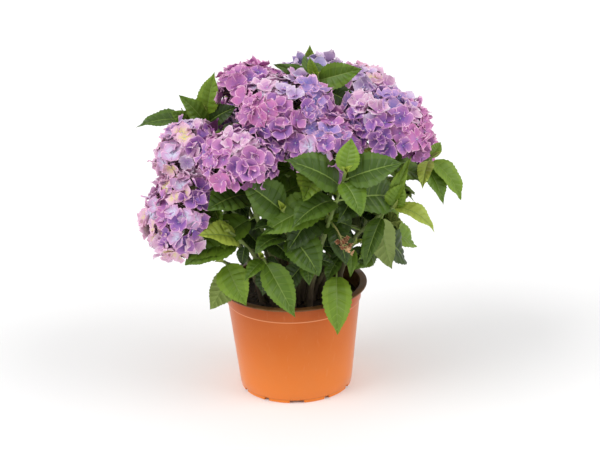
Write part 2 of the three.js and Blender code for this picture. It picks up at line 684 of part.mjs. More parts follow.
// The leaves of a stem by the plant's rule. A leaf that would lie in a flower head droops clear of it.
function leavesOf(stem) {
  const chance = new Chance(stem.seed);
  const leaves = [];
  for (let pair = stem.pairs[0]; pair < stem.pairs[1]; pair++) {
    const [at, ahead] = backAlong(stem.path, stem.rule.gap[pair]);
    const [side, over] = across(ahead);
    for (let half = 0; half < 2; half++) {
      const round = radians(stem.turn + 90 * pair + 180 * half + chance.about(9));
      const open = radians(stem.rule.spread[pair] + chance.about(7));
      const out = side.clone().multiplyScalar(Math.cos(round)).addScaledVector(over, Math.sin(round));
      let way = ahead.clone().multiplyScalar(Math.cos(open)).addScaledVector(out, Math.sin(open));
      const length = stem.leaf * stem.rule.size[pair] * (1 + chance.about(0.1));
      const normal = ahead.clone().multiplyScalar(LEAF_FACE.ahead).addScaledVector(UP, LEAF_FACE.up);
      normal.addScaledVector(between(HEART, at).normalize(), LEAF_FACE.outward);
      const arch = radians(LEAF_ARCH.first + LEAF_ARCH.more * pair + chance.about(14));
      const width = length * (LEAF_WIDTH + chance.about(0.05));
      const fold = radians(LEAF_FOLD + chance.about(7));
      const roll = radians(chance.about(LEAF_ROLL));
      const aside = crossed(way, normal).normalize();
      normal.normalize().multiplyScalar(Math.cos(roll)).addScaledVector(aside, Math.sin(roll));
      const stalk = length * (LEAF_STALK.first + LEAF_STALK.more * pair);
      const size = { length, width, arch, fold, stalk };
      for (let attempt = 0; attempt < LEAF_DROOP.tries; attempt++) {
        const leaf = new Leaf(at, way, normal, size);
        if (!inFlowers(leaf)) {
          leaves.push(leaf);
          break;
        }
        way = way.clone().addScaledVector(ahead, -LEAF_DROOP.back).normalize();
        way.addScaledVector(UP, -LEAF_DROOP.down).normalize();
      }
    }
  }
  return leaves;
}

// Whatever already stands in the plant's space, so that nothing is grown through its neighbours

class Space {
  constructor() {
    this.taken = [];
  }

  add(owner, solid) {
    this.taken.push({ owner, solid, box: solid.boundingBox() });
  }

  isFree(owner, solid) {
    const box = solid.boundingBox();
    return !this.taken.some((other) => {
      if (other.owner === owner) {
        return false;
      }
      const apart = [0, 1, 2].some((i) => box.min[i] > other.box.max[i] || other.box.min[i] > box.max[i]);
      return !apart && !solid.intersect(other.solid).isEmpty();
    });
  }
}

// A leaf that would touch a neighbour is swung aside a little, and is left out where that isn't enough
function fittedLeaf(leaf, owner, space) {
  for (const lift of LIFTS) {
    for (const swing of SWINGS) {
      const way = leaf.way.clone().addScaledVector(leaf.side, swing).addScaledVector(leaf.normal, lift);
      const tried = new Leaf(leaf.root, way, leaf.normal, leaf.size);
      if (space.isFree(owner, tried.solid(GAP))) {
        return tried;
      }
    }
  }
  return null;
}

const plant = new THREE.Group();
plant.name = 'hydrangea';
const pot = potSolid();
const compost = compostSolid();
plant.add(meshOf('pot', pot, COLOURS.pot));
plant.add(meshOf('compost', compost, COLOURS.compost));

const space = new Space();
space.add('pot', pot);
space.add('compost', compost);
const stems = plantStems();
for (const stem of stems) {
  stem.solids = stemSolids(stem);
  stem.pieces = [stem.solids.stem];
  space.add(stem.owner, stem.solids.stem);
  if (stem.solids.cane) {
    space.add(`cane_${stem.name}`, stem.solids.cane);
  }
  if (stem.blooms) {
    const core = headCore(stem);
    stem.pieces.push(core);
    space.add(stem.owner, core);
  }
}
for (const stem of stems.filter((each) => each.blooms)) {
  const grown = floretSolids(stem, GAP);
  floretSolids(stem, 0).forEach((floret, i) => {
    if (space.isFree(stem.owner, grown[i])) {
      stem.pieces.push(floret);
      space.add(stem.owner, floret);
    }
  });
}
for (const leavesBy of [markedLeavesOf, leavesOf]) {
  for (const stem of stems) {
    for (const leaf of leavesBy(stem)) {
      const fitted = fittedLeaf(leaf, stem.owner, space);
      if (fitted) {
        const solid = fitted.solid(0);
        stem.pieces.push(solid);
        space.add(stem.owner, solid);
      }
    }
  }
}
stems.forEach((stem, i) => {
  if (stem.solids.cane) {
    const name = stem.blooms ? `cane_${stem.name}` : `shoot_cane_${stem.name}`;
    plant.add(meshOf(name, stem.solids.cane, COLOURS.cane));
  }
  const mass = mainBody(stem.pieces.reduce((whole, piece) => whole.add(piece)));
  const colour = BLOOM_COLOURS[i % BLOOM_COLOURS.length];
  plant.add(meshOf(stem.owner, mass, stem.blooms ? { ...COLOURS.leaf, color: colour } : COLOURS.leaf));
});

export default plant;
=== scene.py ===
import math
import bpy
import numpy as np
from mathutils import Matrix


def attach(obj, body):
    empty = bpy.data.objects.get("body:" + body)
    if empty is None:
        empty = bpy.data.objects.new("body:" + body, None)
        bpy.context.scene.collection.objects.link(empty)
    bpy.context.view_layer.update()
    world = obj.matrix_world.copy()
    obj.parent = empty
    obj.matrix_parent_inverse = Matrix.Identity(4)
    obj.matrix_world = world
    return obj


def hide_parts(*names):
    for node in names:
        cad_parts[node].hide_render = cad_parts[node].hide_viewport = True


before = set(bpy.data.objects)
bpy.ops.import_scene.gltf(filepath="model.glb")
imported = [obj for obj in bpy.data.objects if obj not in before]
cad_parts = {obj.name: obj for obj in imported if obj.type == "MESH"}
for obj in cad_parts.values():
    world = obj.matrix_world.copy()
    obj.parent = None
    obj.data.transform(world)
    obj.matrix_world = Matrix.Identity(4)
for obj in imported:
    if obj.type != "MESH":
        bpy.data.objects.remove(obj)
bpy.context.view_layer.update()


# Pot: a thin tub moulded in two colours of plastic, terracotta outside and dark brown inside.
# It has a flat rounded lip, an upper band that stands a little proud, and a foot ring cut
# with drainage notches. All sizes in millimetres, made into metres as each mesh is built.

RIM_RADIUS, RIM_HEIGHT, LIP_THICKNESS = 95, 139.3, 2.4
BAND_RADIUS, BAND_DEPTH, BAND_STEP = 87.5, 20.7, 1.2
FLOOR_RADIUS, FLOOR_THICKNESS, WALL = 72.7, 2, 1.8
FOOT_HEIGHT, FOOT_WIDTH, PAD_RADIUS = 4.5, 5.3, 24
NOTCHES, NOTCH_WIDTH, FRONT_NOTCH_WIDTH, NOTCH_HEIGHT, NOTCH_CORNER = 11, 7, 18, 3.6, 0.12
WALL_SHARES, WALL_STEPS, NOTCH_STEPS, FRONT_NOTCH_STEPS = (0.12, 0.3, 0.5, 0.7, 0.88, 0.97), 12, 4, 8
BAND_FOOT = RIM_HEIGHT - BAND_DEPTH
SHOULDER = BAND_RADIUS - BAND_STEP
FOOT_OUT = FLOOR_RADIUS - 1.2
FOOT_IN = FOOT_OUT - FOOT_WIDTH


class Wire:
    """A socket of a finish that takes part in sums like a number."""

    def __init__(self, finish, socket):
        self.finish, self.socket = finish, socket

    def sum(self, operation, *values):
        return self.finish.node("Math", {"operation": operation}, dict(enumerate(values)))

    def __add__(self, other):
        return self.sum("ADD", self, other)

    def __radd__(self, other):
        return self.sum("ADD", other, self)

    def __sub__(self, other):
        return self.sum("SUBTRACT", self, other)

    def __rsub__(self, other):
        return self.sum("SUBTRACT", other, self)

    def __mul__(self, other):
        return self.sum("MULTIPLY", self, other)

    def __rmul__(self, other):
        return self.sum("MULTIPLY", other, self)


class Finish:
    """One material: its surface shader, and the nodes that feed it."""

    def __init__(self, name, colour, roughness, **sockets):
        self.material = bpy.data.materials.new(name)
        self.material.use_nodes = True
        self.nodes = self.material.node_tree.nodes
        self.links = self.material.node_tree.links
        self.surface = self.nodes["Principled BSDF"]
        self.material.diffuse_color = (*colour, 1)
        for name, value in {"Base Color": colour, "Roughness": roughness, **sockets}.items():
            self.set(self.surface.inputs[name], value)

    def set(self, socket, value):
        if isinstance(value, Wire):
            self.links.new(value.socket, socket)
        elif socket.type == "RGBA" and len(value) == 3:
            socket.default_value = (*value, 1)
        else:
            socket.default_value = value

    def wear(self, colour, roughness=None, normal=None):
        for name, value in (("Base Color", colour), ("Roughness", roughness), ("Normal", normal)):
            if value is not None:
                self.set(self.surface.inputs[name], value)

    def node(self, kind, settings=None, sockets=None, output=0):
        made = self.nodes.new("ShaderNode" + kind)
        for name, value in (settings or {}).items():
            if name == "stops":
                ramp = made.color_ramp.elements
                while len(ramp) < len(value):
                    ramp.new(0.5)
                for stop, (place, colour) in zip(ramp, value):
                    stop.position, stop.color = place, (*colour, 1)
            else:
                setattr(made, name, value)
        for name, value in (sockets or {}).items():
            self.set(made.inputs[name], value)
        return Wire(self, made.outputs[output])

    def blend(self, share, one, other):
        return self.node("Mix", {"data_type": "RGBA"}, {0: share, 6: one, 7: other}, 2)

    def place(self):
        return self.node("TexCoord", output="Object")

    def stretched(self, times):
        return self.node("VectorMath", {"operation": "MULTIPLY"}, {0: self.place(), 1: times})

    def height(self):
        return self.node("SeparateXYZ", sockets={0: self.place()}, output="Z")

    def grain(self, size, detail=3, place=None):
        sockets = {"Vector": place or self.place(), "Scale": 1 / size, "Detail": detail}
        return self.node("TexNoise", sockets=sockets)

    def clamped(self, value, low, high):
        sockets = {"Value": value, "From Min": low, "From Max": high}
        return self.node("MapRange", {"clamp": True}, sockets)

    def relief(self, height, depth):
        sockets = {"Height": height, "Distance": depth, "Strength": 1.0}
        return self.node("Bump", sockets=sockets)


def put_in_scene(name, data):
    made = bpy.data.objects.new(name, data)
    bpy.context.scene.collection.objects.link(made)
    return made


class Growth:
    """Gathers many small parts into one closed-skinned mesh, each face with its own finish."""

    def __init__(self, name, finishes):
        self.name = name
        self.names = list(finishes)
        self.finishes = list(finishes.values())
        self.points, self.faces, self.dress, self.count = [], [], [], 0

    def add(self, points, faces, *dress, kinds=0):
        """dress names one finish for all the faces, or one for each of their kinds."""
        self.points.append(np.asarray(points, float))
        self.faces.append(np.asarray(faces, int) + self.count)
        places = np.array([self.names.index(name) for name in dress])
        self.dress.append(places[np.broadcast_to(kinds, len(faces))])
        self.count += len(points)

    def add_rings(self, rings, *dress, kinds=0):
        """A skin over rings of points, each running on from the one before."""
        self.add(np.concatenate(rings), ring_faces(len(rings), len(rings[0])), *dress, kinds=kinds)

    def piece(self, slot, nodes, crease=50):
        mesh = bpy.data.meshes.new(self.name)
        points = np.concatenate(self.points) / 1000
        corners = np.concatenate([faces.ravel() for faces in self.faces])
        sizes = np.concatenate([np.full(len(faces), faces.shape[1]) for faces in self.faces])
        mesh.vertices.add(len(points))
        mesh.vertices.foreach_set("co", points.astype(np.float32).ravel())
        mesh.loops.add(len(corners))
        mesh.loops.foreach_set("vertex_index", corners.astype(np.int32))
        mesh.polygons.add(len(sizes))
        mesh.polygons.foreach_set("loop_start", (np.cumsum(sizes) - sizes).astype(np.int32))
        mesh.polygons.foreach_set("material_index", np.concatenate(self.dress).astype(np.int32))
        mesh.update(calc_edges=True)
        mesh.validate()
        for finish in self.finishes:
            mesh.materials.append(finish.material)
        mesh.set_sharp_from_angle(angle=math.radians(crease))
        made = put_in_scene(self.name, mesh)
        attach(made, "root")
        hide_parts(*nodes)


def ring_faces(rings, sides, closed=True):
    """Quads between each ring of points and the next."""
    steps = np.arange(sides if closed else sides - 1)
    ring, side = np.meshgrid(np.arange(rings - 1), steps, indexing="ij")
    a = (ring * sides + side).ravel()
    b = (ring * sides + (side + 1) % sides).ravel()
    return np.stack([a, b, b + sides, a + sides], 1)


def circle(radius, turns, heights):
    """Points round the pot's axis."""
    return np.stack([radius * np.cos(turns), radius * np.sin(turns), heights], 1)


def arc(centre, radius, start, end, steps):
    turns = np.radians(np.linspace(start, end, steps))
    return [(centre[0] + radius * math.cos(t), centre[1] + radius * math.sin(t)) for t in turns]


def pot_profile():
    """Radius and height from the middle of the underside, up the outside, over the lip and down."""
    round_lip, lip_under = LIP_THICKNESS / 2, RIM_HEIGHT - LIP_THICKNESS
    floor = FOOT_HEIGHT + FLOOR_THICKNESS
    outside = [
        (0.01, 0), (PAD_RADIUS - 0.5, 0), (PAD_RADIUS, 0.4), (PAD_RADIUS + 1, FOOT_HEIGHT),
        (45, FOOT_HEIGHT), (FOOT_IN - 0.6, FOOT_HEIGHT), (FOOT_IN, FOOT_HEIGHT - 0.5),
        (FOOT_IN, 0.5), (FOOT_IN + 0.5, 0), (FOOT_OUT - 0.5, 0), (FOOT_OUT, 0.5),
        (FOOT_OUT, FOOT_HEIGHT - 0.5), (FOOT_OUT + 0.3, FOOT_HEIGHT), (FLOOR_RADIUS - 0.5, FOOT_HEIGHT),
        (FLOOR_RADIUS + 0.1, FOOT_HEIGHT + 0.8),
    ]
    for share in WALL_SHARES:
        outside.append((FLOOR_RADIUS + (SHOULDER - 1 - FLOOR_RADIUS) * share,
                        FOOT_HEIGHT + (BAND_FOOT - 1 - FOOT_HEIGHT) * share))
    outside += [(SHOULDER - 1, BAND_FOOT - 1.1), (SHOULDER - 0.9, BAND_FOOT - 0.5),
                (SHOULDER + 0.2, BAND_FOOT - 0.1), (SHOULDER + 0.45, BAND_FOOT + 0.4),
                (SHOULDER + 0.9, BAND_FOOT + 8), (BAND_RADIUS - 0.1, lip_under - 1.2)]
    lip = [(BAND_RADIUS + 0.8, lip_under)]
    lip += arc((RIM_RADIUS - round_lip, RIM_HEIGHT - round_lip), round_lip, -90, 90, 7)
    lip += [(BAND_RADIUS + 1, RIM_HEIGHT), (BAND_RADIUS - WALL + 0.6, RIM_HEIGHT - 0.1),
            (BAND_RADIUS - WALL, RIM_HEIGHT - 0.8)]
    inside = [(SHOULDER + 0.4 - WALL, BAND_FOOT), (SHOULDER - 1 - WALL, BAND_FOOT - 1),
              (FLOOR_RADIUS - WALL, floor), (0.01, floor)]
    return outside + lip + inside, len(outside)


def pot_turns():
    """Angles round the pot, and which of them lie within a drainage notch."""
    turns, cut, pitch = [], [], 360 / NOTCHES
    widths = [FRONT_NOTCH_WIDTH] + [NOTCH_WIDTH] * (NOTCHES - 1)
    halves = [math.degrees(math.asin(width / 2 / (FOOT_OUT - FOOT_WIDTH / 2))) for width in widths]
    for i, half in enumerate(halves):
        following = halves[(i + 1) % NOTCHES]
        for notched, start, end, steps in (
                (True, -half + NOTCH_CORNER, half - NOTCH_CORNER, NOTCH_STEPS if i else FRONT_NOTCH_STEPS),
                (False, half + NOTCH_CORNER, pitch - following - NOTCH_CORNER, WALL_STEPS)):
            turns += [-90 + i * pitch + turn for turn in np.linspace(start, end, steps)]
            cut += [notched] * steps
    return np.radians(turns), np.array(cut)


terracotta = Finish("terracotta plastic", (0.62, 0.19, 0.06), 0.4, **{
    "Specular IOR Level": 0.25, "Sheen Weight": 0.35, "Sheen Roughness": 0.3})
mottle = terracotta.grain(0.028, 4)
upward = terracotta.clamped(terracotta.height(), 0.0, 0.14)
# Colour by height, brighter orange at the foot and darker and redder towards the top. The thin dark line
# where the wall overhangs the foot ring is painted shadow, and the thin light line at the foot of the band is
# a painted highlight.
height_tone_with_painted_lines = terracotta.node("ValToRGB", {"stops": [
    (0.0, (0.84, 0.24, 0.030)), (0.028, (0.80, 0.22, 0.028)), (0.033, (0.30, 0.062, 0.010)),
    (0.037, (0.80, 0.225, 0.036)), (0.3, (0.72, 0.185, 0.026)), (0.6, (0.60, 0.135, 0.014)),
    (0.837, (0.52, 0.105, 0.010)), (0.842, (0.78, 0.32, 0.14)), (0.850, (0.78, 0.32, 0.14)),
    (0.855, (0.46, 0.088, 0.008)), (1.0, (0.41, 0.076, 0.008))]}, {0: upward})
mottle_and_painted_lines = terracotta.blend(terracotta.clamped(mottle, 0.35, 0.8) * 0.22, height_tone_with_painted_lines, (0.62, 0.20, 0.06))
scuffs = terracotta.grain(0.004, 5, terracotta.stretched((1, 1, 0.25)))
scuffed = terracotta.clamped(scuffs, 0.62, 0.75)
terracotta.wear(
    colour=terracotta.blend(scuffed * 0.1, mottle_and_painted_lines, (0.75, 0.38, 0.2)),
    roughness=0.34 + scuffed * 0.2 + mottle * 0.12,
    normal=terracotta.relief(terracotta.grain(0.0012, 2) + mottle * 0.8, 0.00008))

brown = Finish("brown plastic", (0.16, 0.07, 0.022), 0.42, **{"Specular IOR Level": 0.25})
# Paler, rougher patches: soil dust on the brown plastic, and in part a painted highlight.
dust_and_painted_highlight = brown.clamped(brown.grain(0.011, 5), 0.45, 0.72)
brown.wear(
    colour=brown.blend(dust_and_painted_highlight * 0.55, (0.145, 0.060, 0.018), (0.30, 0.16, 0.06)),
    roughness=0.36 + dust_and_painted_highlight * 0.3,
    normal=brown.relief(brown.grain(0.0015, 3), 0.0001))

profile, outside_rows = pot_profile()
turns, cut = pot_turns()
rows = []
for radius, height in profile:
    in_foot = FOOT_IN - 0.1 < radius < FOOT_OUT + 0.1 and height < FOOT_HEIGHT
    rows.append(circle(radius, turns, np.where(cut & in_foot, max(height, NOTCH_HEIGHT), height)))
sides = np.repeat(np.where(np.arange(len(rows) - 1) < outside_rows - 1, 0, 1), len(turns))
pot = Growth("pot_tub", {"terracotta": terracotta, "brown": brown})
pot.add_rings(rows, "terracotta", "brown", kinds=sides)
pot.piece("pot", ["pot"], 35)


# Compost: dark peat filled to a little under the band, its surface uneven and falling away at
# the wall, with loose crumbs of bark and a few pale grains of grit lying on it.

COMPOST_HEIGHT, COMPOST_EDGE_FALL, COMPOST_LEVEL_RADIUS, GAP = 122, 2.5, 68, 0.3
COMPOST_RADIUS = BAND_RADIUS - BAND_STEP - WALL - 1 - GAP
COMPOST_SIDES, COMPOST_RINGS, COMPOST_WAVES = 96, 34, 14
CRUMBS, GRIT_EVERY, CRUMB_SIDES = 520, 31, 6
CRUMB_RINGS = ((0.01, -1), (0.8, -0.6), (1, 0), (0.8, 0.6), (0.01, 1))

peat = Finish("peat", (0.028, 0.018, 0.012), 0.95)
clods = peat.grain(0.006, 5)
peat.wear(
    colour=peat.node("ValToRGB", {"stops": [
        (0.3, (0.010, 0.006, 0.004)), (0.55, (0.032, 0.020, 0.013)), (0.8, (0.075, 0.048, 0.030))]},
        {0: clods}),
    roughness=0.88 + clods * 0.12,
    normal=peat.relief(clods + peat.grain(0.0015, 4) * 0.5, 0.0012))
bark_chip = Finish("bark chips", (0.085, 0.045, 0.024), 0.9)
fibre = bark_chip.grain(0.0012, 4, bark_chip.stretched((1, 0.3, 1)))
bark_chip.wear(
    colour=bark_chip.blend(fibre, (0.04, 0.02, 0.012), (0.15, 0.085, 0.048)),
    normal=bark_chip.relief(fibre, 0.0004))
grit = Finish("pale grit", (0.42, 0.40, 0.36), 0.85)
speck = grit.grain(0.0008, 3)
grit.wear(
    colour=grit.blend(speck, (0.30, 0.28, 0.24), (0.55, 0.53, 0.49)),
    normal=grit.relief(speck, 0.0002))

chance = np.random.default_rng(7)


def turns_round(sides):
    return np.linspace(0, 2 * math.pi, sides, endpoint=False)


waves = [(chance.uniform(0, 6.28), chance.uniform(0.5, 1.6), chance.uniform(0, 6.28))
         for _ in range(COMPOST_WAVES)]


def swell(x, y, size):
    """A smooth uneven height made of the seeded waves."""
    total = np.zeros_like(x)
    for turn, pitch, start in waves:
        total += np.sin((x * math.cos(turn) + y * math.sin(turn)) / (size * pitch) + start)
    return total / len(waves)


def ground(x, y):
    """Height of the compost at a place in the pot."""
    out = np.hypot(x, y)
    fall = np.clip((out - COMPOST_LEVEL_RADIUS) / (COMPOST_RADIUS - COMPOST_LEVEL_RADIUS), 0, 1)
    uneven = 1.1 * swell(x, y, 9) + 0.5 * swell(x, y, 2.6)
    return COMPOST_HEIGHT - 0.6 - COMPOST_EDGE_FALL * fall + uneven


compost = Growth("compost_fill", {"peat": peat, "bark": bark_chip, "grit": grit})
around, rows = turns_round(COMPOST_SIDES), []
floor_level = FOOT_HEIGHT + FLOOR_THICKNESS + GAP
fill = [(0.01, floor_level), (FLOOR_RADIUS - WALL - GAP, floor_level), (COMPOST_RADIUS, BAND_FOOT - 1)]
fill += [(radius, None) for radius in (COMPOST_RADIUS, *np.linspace(COMPOST_RADIUS - 1, 0.01, COMPOST_RINGS))]
for radius, height in fill:
    ring = circle(radius, around, np.full(COMPOST_SIDES, height or 0.0))
    if height is None:
        ring[:, 2] = ground(ring[:, 0], ring[:, 1])
    rows.append(ring)
compost.add_rings(rows, "peat")


def crumb(centre, sizes, turn):
    """A small closed lump of uneven shape."""
    around = turns_round(CRUMB_SIDES)
    rings = [circle(out, around, np.full(CRUMB_SIDES, float(up))) for out, up in CRUMB_RINGS]
    points = np.concatenate(rings) * (1 + chance.uniform(-0.22, 0.22, (len(rings) * CRUMB_SIDES, 1))) * sizes
    cos, sin = math.cos(turn), math.sin(turn)
    return points @ np.array([[cos, sin, 0], [-sin, cos, 0], [0, 0, 1]]) + centre


for i in range(CRUMBS):
    out, turn = (COMPOST_RADIUS - 3) * math.sqrt(chance.random()), chance.uniform(0, 6.28)
    x, y = np.array(out * math.cos(turn)), np.array(out * math.sin(turn))
    kind = "grit" if i % GRIT_EVERY == 0 else "bark" if i % 3 else "peat"
    size = chance.uniform(0.5, 1.2) if kind == "grit" else chance.uniform(0.7, 2.4)
    sizes = np.array([size, size * chance.uniform(0.4, 0.9), size * chance.uniform(0.3, 0.6)])
    centre = np.array([x, y, ground(x, y) + sizes[2] * 0.4])
    compost.add(crumb(centre, sizes, turn * 3), ring_faces(len(CRUMB_RINGS), CRUMB_SIDES), kind)
compost.piece("compost", ["compost"], 60)


# Canes: thirteen that end in a flower head and eighteen leafy shoots, all from the crown of the
# plant in the compost. They are woody and grey-brown at the foot, green and smooth at the tip,
# swollen at each joint where a pair of leaves grows or has fallen.

# Middle and radius of the flower head, bearing and lift of its axis, turn of the top leaf pair,
# length of a full leaf, number of pairs, how many of the first pairs give way to the marked
# leaves below, and 1 where one more pair of small old leaves is left in the shade
BLOOMING_CANES = {
    "top_front": ((-4, -50, 391), 54, 265, 78, 35, 70, 3, 0, 1),
    "top_left": ((-50, 28, 397), 37, 150, 74, 70, 66, 2, 0, 0),
    "top_back": ((40, 82, 377), 46, 80, 72, 20, 74, 2, 0, 1),
    "top_right": ((98, 60, 378), 37, 30, 68, 60, 72, 3, 0, 1),
    "right": ((121, -42, 363), 55, 335, 66, 10, 76, 3, 0, 1),
    "middle": ((44, -79, 352), 47, 285, 74, 50, 74, 3, 0, 1),
    "centre_left": ((-57, -99, 343), 48, 245, 74, 60, 78, 3, 2, 1),
    "left": ((-127, -41, 336), 40, 185, 52, 75, 74, 3, 0, 1),
    "low_left": ((-134, -80, 269), 55, 195, 26, 40, 74, 3, 3, 0),
    "back_left": ((-98, 78, 302), 52, 140, 55, 0, 76, 3, 0, 1),
    "back": ((-28, 128, 330), 56, 100, 52, 30, 78, 3, 0, 0),
    "back_right": ((70, 140, 318), 52, 60, 50, 65, 78, 3, 0, 1),
    "far_right": ((140, 66, 304), 50, 20, 46, 15, 76, 3, 0, 1),
}
# Tip, bearing and lift of its axis, turn of the first leaf pair, and the rest as above
LEAFY_SHOOTS = {
    "top": ((36, -10, 412), 275, 60, 84, 60, 4, 2, 0),
    "front": ((66, -142, 334), 280, 48, 92, 82, 4, 3, 1),
    "left": ((-102, 8, 366), 195, 84, 8, 82, 4, 2, 1),
    "left_small": ((-126, 30, 352), 178, 44, 20, 70, 3, 2, 0),
    "crest": ((28, 128, 368), 90, 76, 10, 60, 2, 0, 0),
    "right": ((176, -30, 312), 352, 34, 75, 64, 4, 3, 0),
    "low_right": ((124, -84, 268), 322, 36, 45, 74, 4, 3, 0),
    "low_front": ((-8, -124, 282), 262, 50, 50, 84, 4, 4, 0),
    "mid": ((46, -84, 262), 285, 60, 70, 26, 2, 0, 0),
    "low_left": ((-74, -110, 252), 232, 40, 45, 76, 3, 3, 0),
    "skirt_front": ((22, -96, 214), 285, 40, 70, 70, 3, 3, 0),
    "skirt_centre": ((-36, -96, 212), 262, 36, 45, 72, 3, 3, 0),
    "skirt_left": ((-84, -86, 204), 220, 36, 30, 70, 3, 3, 0),
    "skirt_right": ((76, -72, 216), 315, 42, 60, 72, 3, 3, 0),
    "skirt_far_right": ((112, -8, 218), 350, 36, 20, 74, 3, 0, 0),
    "back": ((10, 118, 246), 85, 40, 10, 84, 4, 0, 0),
    "back_left": ((-104, 58, 240), 150, 35, 50, 84, 3, 0, 0),
    "back_right": ((104, 74, 236), 35, 35, 80, 84, 4, 0, 0),
}
FOOT_SHARE, FOOT_ROOM, FOOT_REACH, SETTLING_STEPS = 0.3, 12.5, 60, 60
PATH_SPREAD, PATH_RISE, PATH_LEAN, PATH_STEPS = 0.35, 0.35, 0.38, 48
CANE_RADII, SHOOT_RADII, FOOT_FLARE, FLARE_HEIGHT, FOOT_SUNK = (4.1, 2.2), (3.5, 1.7), 1.35, 5, 1.5
NECK, CANE_SIDES, CANE_RING, BUD_LENGTH, BUD_TIP = 0.42, 12, 3, 5, 0.3
OLD_JOINT, LOWEST_JOINT, JOINT_SWELL, JOINT_LENGTH, BARK_RIDGE = 34, 12, 0.32, 2.6, 0.05
UP = np.array([0.0, 0.0, 1.0])
CANE_RULE = {"spread": (70, 76, 80, 84), "size": (0.92, 1, 1, 0.72), "gap": (8, 36, 72, 110)}
SHOOT_RULE = {"spread": (32, 62, 74, 82, 86), "size": (0.62, 0.92, 1, 1.05, 0.72),
              "gap": (0, 9, 28, 60, 98)}


def unit(vector):
    return vector / np.linalg.norm(vector)


def facing(bearing, lift):
    turn, rise = math.radians(bearing), math.radians(lift)
    return np.array([math.cos(turn) * math.cos(rise), math.sin(turn) * math.cos(rise), math.sin(rise)])


def standing_places(tips):
    """Where the stems stand: under their tips, drawn together, then pushed apart."""
    spots = [tip[:2] * FOOT_SHARE for tip in tips]
    for _ in range(SETTLING_STEPS):
        for i in range(len(spots)):
            for j in range(i):
                apart = spots[i] - spots[j]
                gap = math.hypot(*apart)
                if gap < FOOT_ROOM:
                    push = apart * (FOOT_ROOM - gap) / (2 * max(gap, 0.01))
                    spots[i], spots[j] = spots[i] + push, spots[j] - push
        for i, spot in enumerate(spots):
            spots[i] = spot * min(1, FOOT_REACH / max(math.hypot(*spot), 0.01))
    return spots


class Stem:
    """A cane or shoot: its end, its path from the compost, and how its leaves grow."""

    def __init__(self, blooms, seed, name, at, radius, bearing, lift, turn, leaf, pairs, giving, old):
        self.blooms, self.seed, self.name = blooms, seed, name
        self.centre, self.radius, self.axis = np.array(at, float), radius, facing(bearing, lift)
        self.tip = self.centre - self.axis * NECK * radius
        self.owner = ("bloom_" if blooms else "leaves_") + name
        self.rule, self.radii = (CANE_RULE, CANE_RADII) if blooms else (SHOOT_RULE, SHOOT_RADII)
        self.turn, self.leaf = turn, leaf
        self.pairs, self.giving, self.oldest = pairs, giving, pairs + old

    def stand(self, spot):
        """Lets the stem rise from its place in the compost and lean out to its tip."""
        foot = np.array([*spot, COMPOST_HEIGHT])
        reach = np.linalg.norm(self.tip - foot)
        rising = foot + np.array([*(spot * PATH_SPREAD), reach * PATH_RISE])
        leaning = self.tip - self.axis * PATH_LEAN * reach
        t = np.linspace(0, 1, PATH_STEPS + 1)[:, None]
        self.path = (foot * (1 - t) ** 3 + rising * 3 * t * (1 - t) ** 2
                     + leaning * 3 * t * t * (1 - t) + self.tip * t ** 3)
        self.steps = np.linalg.norm(np.diff(self.path, axis=0), axis=1)
        self.length = float(self.steps.sum())

    def along(self, distances):
        """Points and directions at distances up the stem from its foot."""
        reached = np.concatenate([[0], np.cumsum(self.steps)])
        points = np.stack([np.interp(distances, reached, row) for row in self.path.T], 1)
        ways = np.stack([np.interp(distances, reached, np.gradient(row, reached)) for row in self.path.T], 1)
        return points, ways / np.linalg.norm(ways, axis=1)[:, None]

    def below_tip(self, back):
        points, ways = self.along([self.length - back])
        return points[0], ways[0]


def grow_tube(growth, points, ways, radii, dress, sides):
    """Adds a tube round a path, drawn in at both ends. A ring has one radius, or one for each side."""
    around, rings = turns_round(sides), []
    for point, way, reach in zip(points, ways, radii):
        side = unit(np.cross([0, 1, 0], way))
        over = np.cross(way, side)
        rings.append(point + np.outer(reach * np.cos(around), side) + np.outer(reach * np.sin(around), over))
    ends = [points[i] + (rings[i] - points[i]) * 0.02 for i in (0, -1)]
    growth.add_rings([ends[0], *rings, ends[1]], dress)


cane_bark = Finish("cane bark", (0.20, 0.17, 0.07), 0.6)
streaks = cane_bark.grain(0.0025, 5, cane_bark.stretched((1, 1, 0.12)))
age = cane_bark.clamped(cane_bark.height() + cane_bark.grain(0.02) * 0.04, 0.16, 0.27)
woody = cane_bark.blend(streaks, (0.045, 0.030, 0.018), (0.15, 0.105, 0.062))
green = cane_bark.blend(streaks, (0.13, 0.20, 0.035), (0.26, 0.34, 0.09))
pores = cane_bark.clamped(cane_bark.node("TexVoronoi", sockets={
    "Vector": cane_bark.stretched((1, 1, 0.5)), "Scale": 420}), 0.0, 0.22)
cane_bark.wear(
    colour=cane_bark.blend((1 - pores) * 0.6, cane_bark.blend(age, woody, green), (0.10, 0.05, 0.045)),
    roughness=0.8 - age * 0.3 + streaks * 0.1,
    normal=cane_bark.relief(streaks * (1.2 - age) + pores * 0.4, 0.0006))

stems = [Stem(True, 1000 + 17 * i, name, *row) for i, (name, row) in enumerate(BLOOMING_CANES.items())]
stems += [Stem(False, 5000 + 31 * i, name, at, 0, *row)
          for i, (name, (at, *row)) in enumerate(LEAFY_SHOOTS.items())]
for stem, spot in zip(stems, standing_places([stem.tip for stem in stems])):
    stem.stand(spot)

